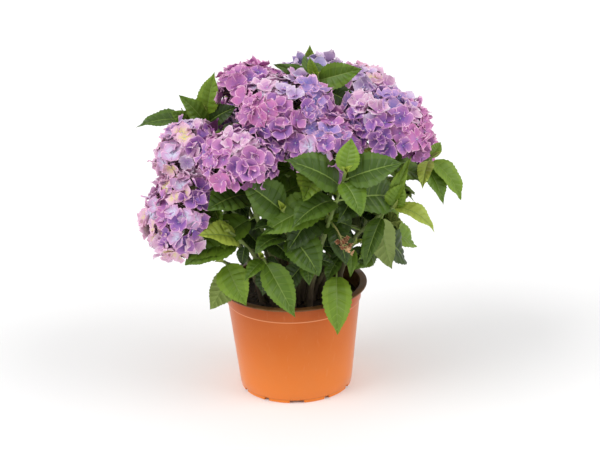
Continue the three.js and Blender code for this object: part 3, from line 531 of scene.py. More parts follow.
canes = Growth("canes", {"bark": cane_bark})
chance = np.random.default_rng(21)
around = turns_round(CANE_SIDES)
for stem in stems:
    stations = np.linspace(0, stem.length, int(stem.length / CANE_RING))
    points, ways = stem.along(stations)
    share, (foot, tip) = stations / stem.length, stem.radii
    radii = foot + (tip - foot) * share + foot * (FOOT_FLARE - 1) * np.exp(-stations / FLARE_HEIGHT)
    joints = [stem.length - gap for gap in stem.rule["gap"][:stem.pairs]]
    lowest = joints[-1] - OLD_JOINT
    while lowest > LOWEST_JOINT:
        joints.append(lowest)
        lowest -= OLD_JOINT * chance.uniform(0.7, 1.1)
    for joint in joints:
        radii = radii + JOINT_SWELL * radii * np.exp(-((stations - joint) / JOINT_LENGTH) ** 2)
    ridges = chance.uniform(0, 6.28, 3)
    bark = BARK_RIDGE * np.sin(3 * around + ridges[0] + stations[:, None] / 30)
    bark = bark + BARK_RIDGE * np.sin(5 * around + ridges[1] - stations[:, None] / 9)
    bark = bark + BARK_RIDGE * chance.uniform(-1, 1, (len(stations), CANE_SIDES))
    uneven = 1 + bark * np.clip(1.15 - share, 0.15, 1)[:, None]
    end, way = (stem.centre, stem.axis) if stem.blooms else (stem.tip + ways[-1] * BUD_LENGTH, ways[-1])
    radii = np.append(radii, tip if stem.blooms else BUD_TIP)
    points[0, 2] -= FOOT_SUNK
    grow_tube(canes, np.vstack([points, end]), np.vstack([ways, way]),
              radii[:, None] * np.vstack([uneven, np.ones(CANE_SIDES)]), "bark", CANE_SIDES)
cane_nodes = [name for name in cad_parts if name.startswith(("cane_", "shoot_cane_"))]
canes.piece("cane", cane_nodes, 60)


# Leaves: opposite pairs, each pair a quarter turn from the last, opening wider down the stem.
# A leaf is a thin green blade, toothed at the edge and quilted between sunken side veins, with a
# pale midrib that stands out underneath and a short stalk. Each is a closed skin grown in place.

LEAF_SWELL, LEAF_POINT, LEAF_PEAK, DRAWN_TIP = 0.65, 1.15, 0.308, 0.45
LEAF_WIDTH, LEAF_FOLD, LEAF_ROLL, ARCH_FIRST, ARCH_MORE = 0.6, 14, 20, 20, 12
STALK_FIRST, STALK_MORE, STALK_RADIUS = 0.06, 0.05, 1.25
FACE_AHEAD, FACE_UP, FACE_OUTWARD = 0.7, 0.35, 0.7
DROOP_BACK, DROOP_DOWN, DROOP_TRIES, DROOP_ROOM = 0.28, 0.1, 6, 3
DOME_FLATNESS, CORE_SKIRT = 0.7, -0.3
TURN_CHANCE, OPEN_CHANCE, SIZE_CHANCE, ARCH_CHANCE, WIDTH_CHANCE, FOLD_CHANCE = 9, 7, 0.1, 14, 0.05, 7
SIDE_VEINS, VEIN_SWEEP, QUILT, BLADE = 8, 0.13, 0.045, 0.4
TOOTH_AHEAD, TOOTH_OUT, TOOTH_IN, RIPPLE, TWIST, RIB, VEIN_RIDGE = 0.011, 0.05, -0.035, 0.02, 0.25, 1.1, 0.25
STALK_TAPER, STALK_SIDES = (1.25, 1.0, 0.95, 0.35), 7
TIP_BUD_SIZE, TIP_BUD_BREADTH, TIP_BUD_ARCH, TIP_BUD_FOLD, TIP_BUD_VEINS = 0.24, 0.42, 16, 26, 2
HEART = np.array([8.0, 0.0, 215.0])
VEIN_STEPS = (0.0, 0.1, 0.36, 0.68)
ACROSS = (0, 0.035, 0.3, 0.6, 0.88, 1)
# Leaf greens from light to dark. Young and fresh leaves are lighter; the darker tones, deep above all, are
# partly painted shade for leaves inside the plant and under the flower heads.
LEAF_GREENS = {
    "deep": ((0.024, 0.050, 0.006), (0.036, 0.071, 0.008)),
    "full": ((0.048, 0.096, 0.009), (0.070, 0.132, 0.012)),
    "mid": ((0.086, 0.162, 0.012), (0.116, 0.204, 0.016)),
    "fresh": ((0.140, 0.238, 0.018), (0.176, 0.282, 0.022)),
    "young": ((0.31, 0.39, 0.050), (0.36, 0.45, 0.062)),
}
LEAF_PARTS = {"inner": ("green", 0.42), "outer": ("green edge", 0.45), "vein": ("vein", 0.5),
              "under": ("underside", 0.65)}


def between(one, other, share):
    return tuple(a + (b - a) * share for a, b in zip(one, other))


def leaf_finish(name, colour, roughness):
    return Finish(f"leaf {name}", colour, roughness, **{"Specular IOR Level": 0.32})


leaf_finishes = {}
for tone, (inner, outer) in LEAF_GREENS.items():
    colours = inner, outer, between(outer, (0.42, 0.52, 0.16), 0.08), between(outer, (0.30, 0.34, 0.13), 0.5)
    for (part, (words, roughness)), colour in zip(LEAF_PARTS.items(), colours):
        leaf_finishes[f"{tone}_{part}"] = leaf_finish(f"{tone} {words}", colour, roughness)
leaf_finishes["rib"] = leaf_finish("midrib", (0.19, 0.28, 0.055), 0.5)
leaf_finishes["stalk"] = leaf_finish("stalk", (0.22, 0.31, 0.07), 0.5)


def across(axis):
    """Two directions square to an axis: a level one, and the one above it."""
    side = unit(np.cross(UP, axis)) if abs(axis[2]) < 0.995 else np.array([1.0, 0, 0])
    return side, np.cross(axis, side)


def swing(one, other, turn):
    """What lies between two directions, at an angle from the first."""
    return one * math.cos(turn) + other * math.sin(turn)


class Chance:
    """The plant's own seeded chance for its leaves, the same as in the part's source."""

    def __init__(self, seed):
        self.state = seed

    def next(self):
        self.state = (self.state * 1664525 + 1013904223) & 0xFFFFFFFF
        return self.state / 4294967296

    def about(self, spread):
        return (self.next() * 2 - 1) * spread


class Leaf:
    """One leaf: the stalk leaves the stem at the root, the blade arches over and folds up."""

    def __init__(self, root, way, normal, length, width, arch, fold, stalk, tone=None, pair=0):
        self.root, self.way = root, unit(way)
        self.normal = unit(normal - self.way * np.dot(normal, self.way))
        self.side = np.cross(self.way, self.normal)
        self.base = root + self.way * stalk
        self.length, self.width, self.arch, self.fold = length, width, arch, fold
        self.tone, self.pair = tone, pair

    def lay(self, share, out, lift=0.0):
        """Points of the blade: share runs from base to tip, out from -1 to 1 across it."""
        share, out = np.broadcast_arrays(np.asarray(share, float), np.asarray(out, float))
        angle, bend = self.arch * share, self.length / self.arch
        half = self.width / 2 * share ** LEAF_SWELL * (1 - share) ** LEAF_POINT / LEAF_PEAK
        half = half * (1 - DRAWN_TIP * share ** 8)
        raised = half * np.abs(out) * math.sin(self.fold) + lift
        forward = bend * np.sin(angle) + raised * np.sin(angle)
        upward = raised * np.cos(angle) - bend * (1 - np.cos(angle))
        sideways = half * out * math.cos(self.fold)
        return (self.base + forward[..., None] * self.way + upward[..., None] * self.normal
                + sideways[..., None] * self.side)


heads = [(stem.centre, stem.axis, stem.radius) for stem in stems if stem.blooms]


def inside_head(points, room, own=None):
    """Which points lie inside a flower head, or nearer to it than the given room."""
    found = np.zeros(len(points), bool)
    for centre, axis, radius in heads:
        if centre is own:
            continue
        away = points - centre
        height = away @ axis
        out = np.sqrt(np.maximum(0, (away ** 2).sum(1) - height ** 2))
        thick = radius * DOME_FLATNESS
        found |= (height > CORE_SKIRT * thick - room) & (
            (height / (thick + room)) ** 2 + (out / (radius + room)) ** 2 < 1)
    return found


# Leaves that the front view shows plainly, by the stem that bears them: distance back from its tip,
# the leaf's tip, bearing and lift of its upper side, arch, breadth and stalk as shares of length,
# and its tone, the darker tones partly painted shade
MARKED_LEAVES = {
    "leaves_front": [
        (2, (75, -126, 374), 270, 12, 22, 0.7, 0.08, "fresh"),
        (30, (-8, -150, 357), 258, 48, 45, 0.59, 0.08, "full"),
        (15, (138, -138, 345), 285, 42, 32, 0.64, 0.1, "full"),
        (18, (83, -162, 287), 290, 40, 72, 0.66, 0.06, "mid"),
        (60, (0, -150, 269), 262, 58, 70, 0.64, 0.1, "full"),
    ],
    "leaves_low_front": [
        (3, (-59, -136, 329), 262, 40, 30, 0.72, 0.08, "full"),
        (40, (-47, -138, 265), 260, 60, 45, 0.55, 0.12, "deep"),
        (72, (-45, -128, 230), 270, 78, 85, 0.53, 0.12, "full"),
        (54, (32, -124, 196), 282, 42, 70, 0.74, 0.1, "full"),
    ],
    "bloom_centre_left": [
        (34, (-100, -132, 290), 250, 42, 35, 0.83, 0.1, "full"),
    ],
    "bloom_low_left": [
        (40, (-112, -118, 275), 245, 50, 35, 0.53, 0.15, "full"),
        (72, (-150, -60, 205), 235, 50, 45, 0.55, 0.1, "full"),
    ],
    "leaves_low_left": [
        (26, (-113, -138, 260), 300, 52, 40, 0.6, 0.12, "young"),
        (38, (-62, -92, 200), 260, 50, 45, 0.66, 0.08, "deep"),
        (28, (-131, -114, 212), 250, 50, 58, 0.62, 0.1, "mid"),
        (32, (-150, -102, 216), 235, 50, 50, 0.58, 0.1, "mid"),
    ],
    "leaves_mid": [
        (60, (58, -28, 192), 275, 45, 30, 0.95, 0.03, "deep"),
    ],
    "leaves_skirt_left": [
        (24, (-70, -84, 189), 240, 45, 40, 0.6, 0.12, "deep"),
        (2, (-58, -112, 155), 262, 24, 38, 0.7, 0.06, "fresh"),
        (16, (-104, -104, 148), 60, 10, 40, 0.66, 0.1, "fresh"),
    ],
    "leaves_skirt_centre": [
        (14, (-18, -72, 191), 270, 50, 45, 0.62, 0.1, "deep"),
        (30, (-39, -72, 151), 262, 45, 40, 0.6, 0.12, "deep"),
        (3, (2, -124, 142), 275, 28, 38, 0.49, 0.1, "mid"),
        (8, (-59, -118, 191), 255, 40, 40, 0.53, 0.08, "mid"),
    ],
    "leaves_skirt_front": [
        (10, (54, -84, 193), 300, 50, 40, 0.6, 0.1, "deep"),
        (30, (-13, -66, 153), 262, 45, 40, 0.62, 0.12, "deep"),
        (18, (20, -112, 179), 262, 38, 40, 0.58, 0.1, "full"),
    ],
    "leaves_skirt_right": [
        (40, (53, -104, 108), 270, 24, 62, 0.49, 0.34, "fresh"),
        (3, (71, -94, 181), 280, 20, 40, 0.38, 0.1, "mid"),
        (28, (41, -78, 168), 250, 40, 45, 0.55, 0.1, "full"),
        (10, (94, -62, 184), 290, 45, 45, 0.66, 0.1, "deep"),
        (20, (46, -64, 192), 265, 50, 40, 0.66, 0.1, "deep"),
    ],
    "leaves_low_right": [
        (0, (175, -104, 241), 300, 60, 82, 0.47, 0.08, "young"),
        (4, (149, -84, 335), 248, 18, 30, 0.25, 0.05, "fresh"),
        (15, (88, -112, 200), 245, 18, 40, 0.38, 0.12, "full"),
        (20, (123, -88, 188), 120, -10, 35, 0.64, 0.1, "mid"),
        (2, (139, -90, 303), 270, 30, 30, 0.74, 0.1, "fresh"),
    ],
    "leaves_right": [
        (0, (190, -14, 327), 275, 40, 30, 0.64, 0.1, "fresh"),
        (3, (212, -44, 260), 312, 40, 58, 0.5, 0.08, "fresh"),
        (12, (189, -60, 260), 300, 20, 55, 0.49, 0.1, "mid"),
        (2, (162, -78, 289), 240, 60, 30, 0.42, 0.1, "young"),
    ],
    "leaves_top": [
        (3, (-16, -22, 437), 262, 40, 14, 0.36, 0.08, "full"),
        (0, (29, -10, 442), 250, 10, 18, 0.49, 0.08, "fresh"),
        (3, (94, -20, 427), 278, 24, 22, 0.58, 0.08, "mid"),
        (14, (87, -18, 374), 290, 45, 45, 0.61, 0.12, "deep"),
    ],
    "leaves_left": [
        (2, (-89, 4, 422), 252, 18, 22, 0.53, 0.06, "fresh"),
        (18, (-135, 2, 394), 240, 55, 40, 0.49, 0.08, "mid"),
        (12, (-61, -8, 380), 285, 40, 40, 0.59, 0.1, "deep"),
        (22, (-121, -16, 364), 240, 40, 40, 0.59, 0.12, "full"),
    ],
    "leaves_left_small": [
        (2, (-192, 18, 348), 245, 58, 48, 0.47, 0.1, "full"),
        (6, (-148, 18, 368), 250, 30, 70, 0.64, 0.14, "mid"),
    ],
    "leaves_back_left": [
        (60, (-126, 62, 172), 160, 40, 45, 0.62, 0.1, "full"),
        (60, (-72, 108, 160), 100, 40, 45, 0.62, 0.1, "mid"),
    ],
    "leaves_crest": [
        (0, (31, 122, 420), 270, 5, 25, 0.48, 0.06, "fresh"),
    ],
}


def marked_leaf(stem, back, tip, bearing, lift, arch, breadth, stalk, tone):
    """A leaf grown from its stem to a known tip."""
    root, arch = stem.below_tip(back)[0], math.radians(arch)
    ahead, down = stalk + math.sin(arch) / arch, (1 - math.cos(arch)) / arch
    reach, dip = math.hypot(ahead, down), math.atan2(down, ahead)
    chord = np.array(tip, float) - root
    length, chord = np.linalg.norm(chord) / reach, unit(chord)
    face = facing(bearing, lift)
    face = unit(face - chord * np.dot(face, chord))
    return Leaf(root, swing(chord, face, dip), swing(face, -chord, dip), length, length * breadth,
                arch, math.radians(LEAF_FOLD), length * stalk, tone)


def leaves_of(stem):
    """The stem's marked leaves, then those by the plant's rule, drooped clear of the flower heads."""
    chance, rule = Chance(stem.seed), stem.rule
    leaves = [marked_leaf(stem, *mark) for mark in MARKED_LEAVES.get(stem.owner, ())]
    for pair in range(stem.giving, stem.oldest):
        at, ahead = stem.below_tip(rule["gap"][pair])
        side, over = across(ahead)
        for half in range(2):
            turn = math.radians(stem.turn + 90 * pair + 180 * half + chance.about(TURN_CHANCE))
            opening = math.radians(rule["spread"][pair] + chance.about(OPEN_CHANCE))
            way = swing(ahead, swing(side, over, turn), opening)
            length = stem.leaf * rule["size"][pair] * (1 + chance.about(SIZE_CHANCE))
            normal = ahead * FACE_AHEAD + UP * FACE_UP + unit(at - HEART) * FACE_OUTWARD
            arch = math.radians(ARCH_FIRST + ARCH_MORE * pair + chance.about(ARCH_CHANCE))
            width = length * (LEAF_WIDTH + chance.about(WIDTH_CHANCE))
            fold = math.radians(LEAF_FOLD + chance.about(FOLD_CHANCE))
            roll = math.radians(chance.about(LEAF_ROLL))
            normal = swing(unit(normal), unit(np.cross(way, normal)), roll)
            stalk = length * (STALK_FIRST + STALK_MORE * pair)
            for _ in range(DROOP_TRIES):
                leaf = Leaf(at, way, normal, length, width, arch, fold, stalk, pair=pair)
                tested = leaf.lay(np.repeat([0.15, 0.4, 0.7, 1.0], 3), [-1, 0, 1] * 4)
                if not inside_head(tested, DROOP_ROOM).any():
                    leaves.append(leaf)
                    break
                way = unit(unit(way - ahead * DROOP_BACK) - UP * DROOP_DOWN)
    return leaves


def blade_faces(rows, cols):
    """Faces of a thin closed blade, upper side, underside and edge, and how many are the edge's."""
    top, under = ring_faces(rows, cols, closed=False), rows * cols
    net = np.arange(under).reshape(rows, cols)
    rim = np.concatenate([net[:, 0], net[-1, 1:], net[-2::-1, -1], net[0, -2:0:-1]])
    after = np.roll(rim, -1)
    edge = np.stack([rim, after, after + under, rim + under], 1)
    return np.concatenate([top, top[:, [0, 3, 2, 1]] + under, edge]), len(edge)


def leaf_pattern(veins):
    """The blade's net: shares, outs and steps between veins of its points, its faces and their kinds."""
    steps = np.array(VEIN_STEPS * veins + (0.0,))
    starts = np.append(np.repeat(np.arange(veins), len(VEIN_STEPS)), veins)
    outs = np.array([-t for t in ACROSS[:0:-1]] + list(ACROSS))
    share, out = np.meshgrid(np.clip((starts + steps) / veins, 0.012, 0.99), outs, indexing="ij")
    rows, cols = share.shape
    faces, edges = blade_faces(rows, cols)
    kinds = []
    for row in range(rows - 1):
        for col in range(cols - 1):
            out_here = abs(outs[col] + outs[col + 1]) / 2
            vein = row % len(VEIN_STEPS) == 0 and 0 < row and out_here < 0.9
            kinds.append(4 if out_here < 0.04 else 2 if vein else 0 if out_here < 0.6 else 1)
    kinds = np.concatenate([kinds, np.where(np.array(kinds) == 4, 4, 3), np.full(edges, 1)])
    return share, out, np.broadcast_to(steps[:, None], share.shape), faces, kinds


LEAF_NET, TIP_BUD_NET = leaf_pattern(SIDE_VEINS), leaf_pattern(TIP_BUD_VEINS)


def grow_leaf(growth, leaf, tone, chance, net=LEAF_NET):
    """Adds one leaf's blade and stalk."""
    net_share, net_out, step, faces, kinds = net
    odd = np.arange(len(net_share))[:, None] % 2 == 1
    out = np.abs(net_out)
    sweep = VEIN_SWEEP * out * 4 * net_share * (1 - net_share)
    tooth = np.where((out == 1) & odd, TOOTH_AHEAD, 0.0)
    share = np.clip(net_share + sweep + tooth, 0.008, 0.992)
    toothed = np.where(out == 1, net_out * (1 + np.where(odd, TOOTH_OUT, TOOTH_IN)), net_out)
    pad = (4 * step * (1 - step)) ** 0.7
    ends = np.clip(net_share * 6, 0, 1) * np.clip((1 - net_share) * 5, 0, 1)
    quilt = QUILT * leaf.width * pad * ends * np.sin(math.pi * np.clip(out, 0, 0.97)) ** 0.7
    waves = chance.uniform(0, 6.28, 2)
    wave = np.sin(15 * net_share + waves[0] + np.sign(net_out) * waves[1])
    ripple = RIPPLE * leaf.length * out ** 2 * wave
    twist = chance.uniform(-TWIST, TWIST) * leaf.width / 2 * net_out * net_share
    lift = quilt + (ripple + twist) * ends
    rib = np.where(out < 0.1, RIB * (1 - net_share) ** 0.7 * np.where(out == 0, 1, 0.45), 0.0)
    ridge = np.where(step < 0.1, VEIN_RIDGE, 0.0) * (1 - out)
    sunk = lift - BLADE * (1 - 0.5 * out) - rib - ridge
    sides = [leaf.lay(share, toothed, lift).reshape(-1, 3), leaf.lay(share, toothed, sunk).reshape(-1, 3)]
    growth.add(np.concatenate(sides), faces, *(f"{tone}_{part}" for part in LEAF_PARTS), "rib", kinds=kinds)
    heel = leaf.lay([0.03, 0.2], [0, 0], -0.9)
    path = np.stack([leaf.root, (leaf.root + heel[0]) / 2, *heel])
    ways = np.stack([leaf.way] * 3 + [unit(heel[1] - heel[0])])
    stout = STALK_RADIUS * min(1, leaf.length / 60)
    grow_tube(growth, path, ways, np.array(STALK_TAPER) * stout, "stalk", STALK_SIDES)


def tone_of(stem, leaf, chance):
    """Younger leaves are lighter, and so are those at the edge of the plant: leaves deep inside it get darker
    greens, painted shade, and the old pairs left below get the darkest, painted shade too.
    """
    if leaf.pair >= stem.pairs:
        return "deep"
    outward = np.linalg.norm((leaf.root - HEART) * (1, 1, 0.7)) / 150
    age = leaf.pair * 0.8 - 1.2 * outward + chance.uniform(-0.9, 0.9) + (1.0 if stem.blooms else 0.6)
    return ("young", "fresh", "mid", "full", "deep")[int(np.clip(age + 1.3, 0, 4.4))]


def leaf_group(stem):
    if stem.blooms:
        return "cane_leaves"
    return "skirt_leaves" if stem.name.startswith(("skirt", "back")) else "shoot_leaves"


for group in ("cane_leaves", "shoot_leaves", "skirt_leaves"):
    growth, members = Growth(group, leaf_finishes), [stem for stem in stems if leaf_group(stem) == group]
    for stem in members:
        chance = np.random.default_rng(stem.seed)
        for leaf in leaves_of(stem):
            grow_leaf(growth, leaf, leaf.tone or tone_of(stem, leaf, chance), chance)
        for half in () if stem.blooms else (-1, 1):
            out = swing(*across(stem.axis), math.radians(stem.turn + 90)) * half
            size = stem.leaf * TIP_BUD_SIZE
            bud = Leaf(stem.tip, stem.axis + out * 0.2, stem.axis - out * 2, size, size * TIP_BUD_BREADTH,
                       math.radians(TIP_BUD_ARCH), math.radians(TIP_BUD_FOLD), size * 0.08)
            grow_leaf(growth, bud, "young", chance, TIP_BUD_NET)
    growth.piece("foliage", [stem.owner for stem in members])


# Flower heads: flattened domes of florets on thin stalks from the end of the cane. Each floret
# has four broad petals in two overlapping pairs, cupped, bluer at the heart and pink at the rim,
# round a small bead; closed buds fill the shade between them. Petals are thin closed skins.

DOME_SKIRT, DOME_COVER, HEXAGONAL, SPIRAL = -0.37, 0.86, 0.866, 2.399963
FLORET_SPACING, FLORET_SEAT, FLORET_LIFT, FLORET_OVERLAP = 17.8, 1.5, 0.18, 3
CROWN_SEATS = {"top_front": 6, "right": 4, "centre_left": 3, "top_back": -2}
PETAL, PETAL_SIZES, PETAL_BREADTH, PETAL_BLADE, PETAL_WIDEST = 13.4, (0.88, 1.1), 0.66, 0.35, 0.58
PAIR_GAP, PETAL_FRILL, PETAL_WAVE, PETAL_BEND, PETAL_CREASE = 0.9, 0.11, 0.06, 0.4, 0.6
PETAL_ROWS = (0.06, 0.3, 0.58, 0.76, 0.9, 1)
PETAL_COLS = (-1, -0.86, -0.5, 0, 0.5, 0.86, 1)
FLORET_SHAPES, FLORET_SIZES, FLORET_TILT, FLORET_STALK = 24, (0.78, 1.16), 0.4, (1.0, 0.55)
BEAD_RADIUS, BEAD_SIDES, BEAD_RINGS = 1.15, 6, ((0.01, -1), (0.95, 0), (0.01, 1))
BUDS_FOR_FLORET, BUD_RADII, BUD_DEPTHS, PURPLE_BUDS = 2.5, (1.2, 2.4), (0.66, 0.84), 0.6
ZONE_SIDE, ZONE_TOP, ZONE_UNDER, DRIFT_REACH = 0.42, 0.74, -0.3, 2.2
# plum is painted shade, the dark colour of the florets under the heads
PETAL_COLOURS = {
    "violet": (0.19, 0.09, 0.38), "blue_violet": (0.21, 0.17, 0.50), "mauve": (0.36, 0.14, 0.44),
    "orchid": (0.44, 0.17, 0.45), "pink": (0.53, 0.19, 0.45), "rose": (0.57, 0.17, 0.42),
    "lilac": (0.42, 0.26, 0.56), "sky_lilac": (0.44, 0.37, 0.66), "pale_lilac": (0.64, 0.50, 0.70),
    # pink_rim and pale_rim are the petals' pink edges, lightened in part as a painted highlight along them
    "pink_rim": (0.90, 0.56, 0.74), "pale_rim": (0.88, 0.74, 0.86), "blush": (0.72, 0.45, 0.60),
    "lime_cream": (0.70, 0.62, 0.22), "frost": (0.64, 0.66, 0.80),
    "soft_orchid": (0.58, 0.32, 0.57), "plum": (0.24, 0.06, 0.20), "shade": (0.16, 0.04, 0.13),
}
# Heart, petal and rim of each kind of floret
DRESSES = {
    "violet": ("violet", "mauve", "pink_rim"), "mauve": ("violet", "orchid", "pink_rim"),
    "pink": ("mauve", "pink", "pink_rim"), "rose": ("orchid", "rose", "pink_rim"),
    "lilac": ("blue_violet", "lilac", "pink_rim"), "blue": ("blue_violet", "sky_lilac", "pale_rim"),
    "pale": ("lilac", "pale_lilac", "pale_rim"), "cream": ("lime_cream", "blush", "pink_rim"),
    "bright": ("frost", "soft_orchid", "pink_rim"),
    "plum": ("shade", "plum", "orchid"), "blush": ("orchid", "blush", "pale_rim"),
}
# Florets on the left, the front, the right, the top and the underside of each head. The dark plum and violet
# of most undersides are painted shade
HEAD_DRESSES = {
    "top_front": ("pink rose mauve", "mauve violet pink mauve", "mauve lilac pink",
                  "lilac pale bright blush pale", "violet plum"),
    "top_left": ("pink violet", "pink mauve violet", "pink mauve", "pink rose mauve", "violet plum"),
    "top_back": ("blue pale", "blue pale lilac", "blue pale", "pale blue pale", "blue lilac"),
    "top_right": ("pale blush", "blush pale cream pale", "pink blush cream", "blush cream pale", "pink"),
    "right": ("blue lilac violet", "lilac mauve pale violet", "rose pink rose",
              "pale lilac blush", "plum violet plum"),
    "middle": ("violet mauve", "violet mauve bright", "pink mauve pink", "pink lilac pink", "violet plum"),
    "centre_left": ("pink mauve pink", "mauve pink violet mauve", "violet mauve pink",
                    "lilac mauve blush", "rose plum violet"),
    # the pale, blush, cream and bright florets under and atop the left heads are real colours brightened in
    # part as painted light
    "left": ("cream blush bright cream", "bright blush cream pale", "violet plum lilac",
             "blush pale cream lilac pale", "blush cream bright"),
    "low_left": ("blush cream bright pink", "blush bright violet cream", "violet mauve violet",
                 "bright cream blush pale", "blush violet cream"),
    "back_left": ("mauve lilac", "mauve pink", "mauve pink", "lilac pale", "violet plum"),
    "back": ("pink mauve", "mauve violet", "mauve violet", "pink mauve lilac", "violet plum"),
    "back_right": ("blue lilac", "mauve lilac", "mauve lilac", "lilac pale", "violet plum"),
    "far_right": ("mauve pink", "mauve pink", "rose pink", "pink mauve", "violet plum"),
}

# Each kind of floret has five shades from its heart to its rim
petal_finishes = {"shade": Finish("petal in shade", PETAL_COLOURS["shade"], 0.6)}
for dress, names in DRESSES.items():
    heart, petal, rim = (PETAL_COLOURS[name] for name in names)
    shades = (heart, between(heart, petal, 0.4), between(heart, petal, 0.8),
              between(petal, rim, 0.1), between(petal, rim, 0.85))
    for place, colour in enumerate(shades):
        petal_finishes[f"{dress}_{place}"] = Finish(f"{dress} petal shade {place + 1}", colour, 0.55)
petal_finishes["bead"] = Finish("floret bead", (0.46, 0.46, 0.62), 0.5)
petal_finishes["bud"] = Finish("closed bud", (0.36, 0.22, 0.36), 0.6)
petal_finishes["flower_stalk"] = Finish("flower stalk", (0.28, 0.20, 0.13), 0.6)


def floret_pattern(chance):
    """One floret about the origin, facing up: points, faces, and 0 to 4 for heart to rim."""
    share, out = np.meshgrid(PETAL_ROWS, PETAL_COLS, indexing="ij")
    rows, cols = share.shape
    skin, edges = blade_faces(rows, cols)
    kind = []
    for row in range(rows - 1):
        for col in range(cols - 1):
            edge = col in (0, cols - 2) or row == rows - 2
            inner = (0, 1, 2, 3, 3)[row] if col in (2, 3) else (1, 2, 3, 3, 3)[row]
            kind.append(4 if edge and row > 0 else inner)
    kind = np.array(kind + [max(each, 2) for each in kind] + [4] * edges)
    points, cup = [], chance.uniform(0.0, 0.75)
    for petal in range(4):
        length = PETAL * chance.uniform(*PETAL_SIZES)
        late = np.clip((share - PETAL_WIDEST) / (1 - PETAL_WIDEST), 0, 1)
        shape = np.clip(share / PETAL_WIDEST, 0, 1) ** 0.85
        shape = shape - chance.uniform(0.78, 0.95) * late ** chance.uniform(1.15, 1.9)
        half = PETAL_BREADTH * length * shape
        waves = chance.uniform(0, 6.28, 3)
        half = half * (1 + 0.07 * np.sin(9 * share + waves[0] + 2 * np.sign(out)))
        cupped = (cup + chance.uniform(-0.3, 0.3)) * length * share ** 1.8
        rolled = chance.uniform(-0.15, 0.42) * half * np.abs(out) ** 1.4
        stacked = (PAIR_GAP if petal % 2 else 0) * share ** 0.3
        tilted = chance.uniform(-0.25, 0.25) * half * out
        frilled = PETAL_FRILL * length * np.abs(out) * np.sin(10 * share + waves[1] + 2 * out) * share
        waved = PETAL_WAVE * length * np.sin(4.5 * out + waves[2]) * share
        bent = PETAL_BEND * length * np.clip(share - 0.6, 0, 1) * chance.uniform(-0.5, 1.6)
        creased = PETAL_CREASE * np.exp(-(out / 0.25) ** 2) * share * (1 - share) * 4
        rise = cupped + rolled + stacked + tilted + frilled + waved - bent - creased
        turn = petal * math.pi / 2 + chance.uniform(-0.1, 0.1)
        x, y = length * (share + 0.13 * (1 - np.abs(out)) * share ** 5), half * out
        flat = np.stack([swing(x, -y, turn), swing(y, x, turn)], -1)
        upper = np.concatenate([flat, rise[..., None]], -1).reshape(-1, 3)
        points += [upper, upper - (0, 0, PETAL_BLADE)]
    faces = [skin + petal * 2 * rows * cols for petal in range(4)]
    return np.concatenate(points), np.concatenate(faces), np.tile(kind, 4)


chance = np.random.default_rng(5)
florets = [floret_pattern(chance) for _ in range(FLORET_SHAPES)]


def add_bead(growth, centre, radius, axis, dress):
    """A small closed bead with its poles along an axis."""
    side, over = across(axis)
    around = turns_round(BEAD_SIDES)
    ring = np.outer(np.cos(around), side) + np.outer(np.sin(around), over)
    growth.add_rings([centre + radius * (out * ring + up * axis) for out, up in BEAD_RINGS], dress)


def bowed(start, bend, end, steps):
    """A path that bows toward a third point on its way, and its directions."""
    t = np.linspace(0, 1, steps)[:, None]
    path = start * (1 - t) ** 2 + bend * 2 * t * (1 - t) + end * t * t
    ways = np.gradient(path, axis=0)
    return path, ways / np.linalg.norm(ways, axis=1)[:, None]


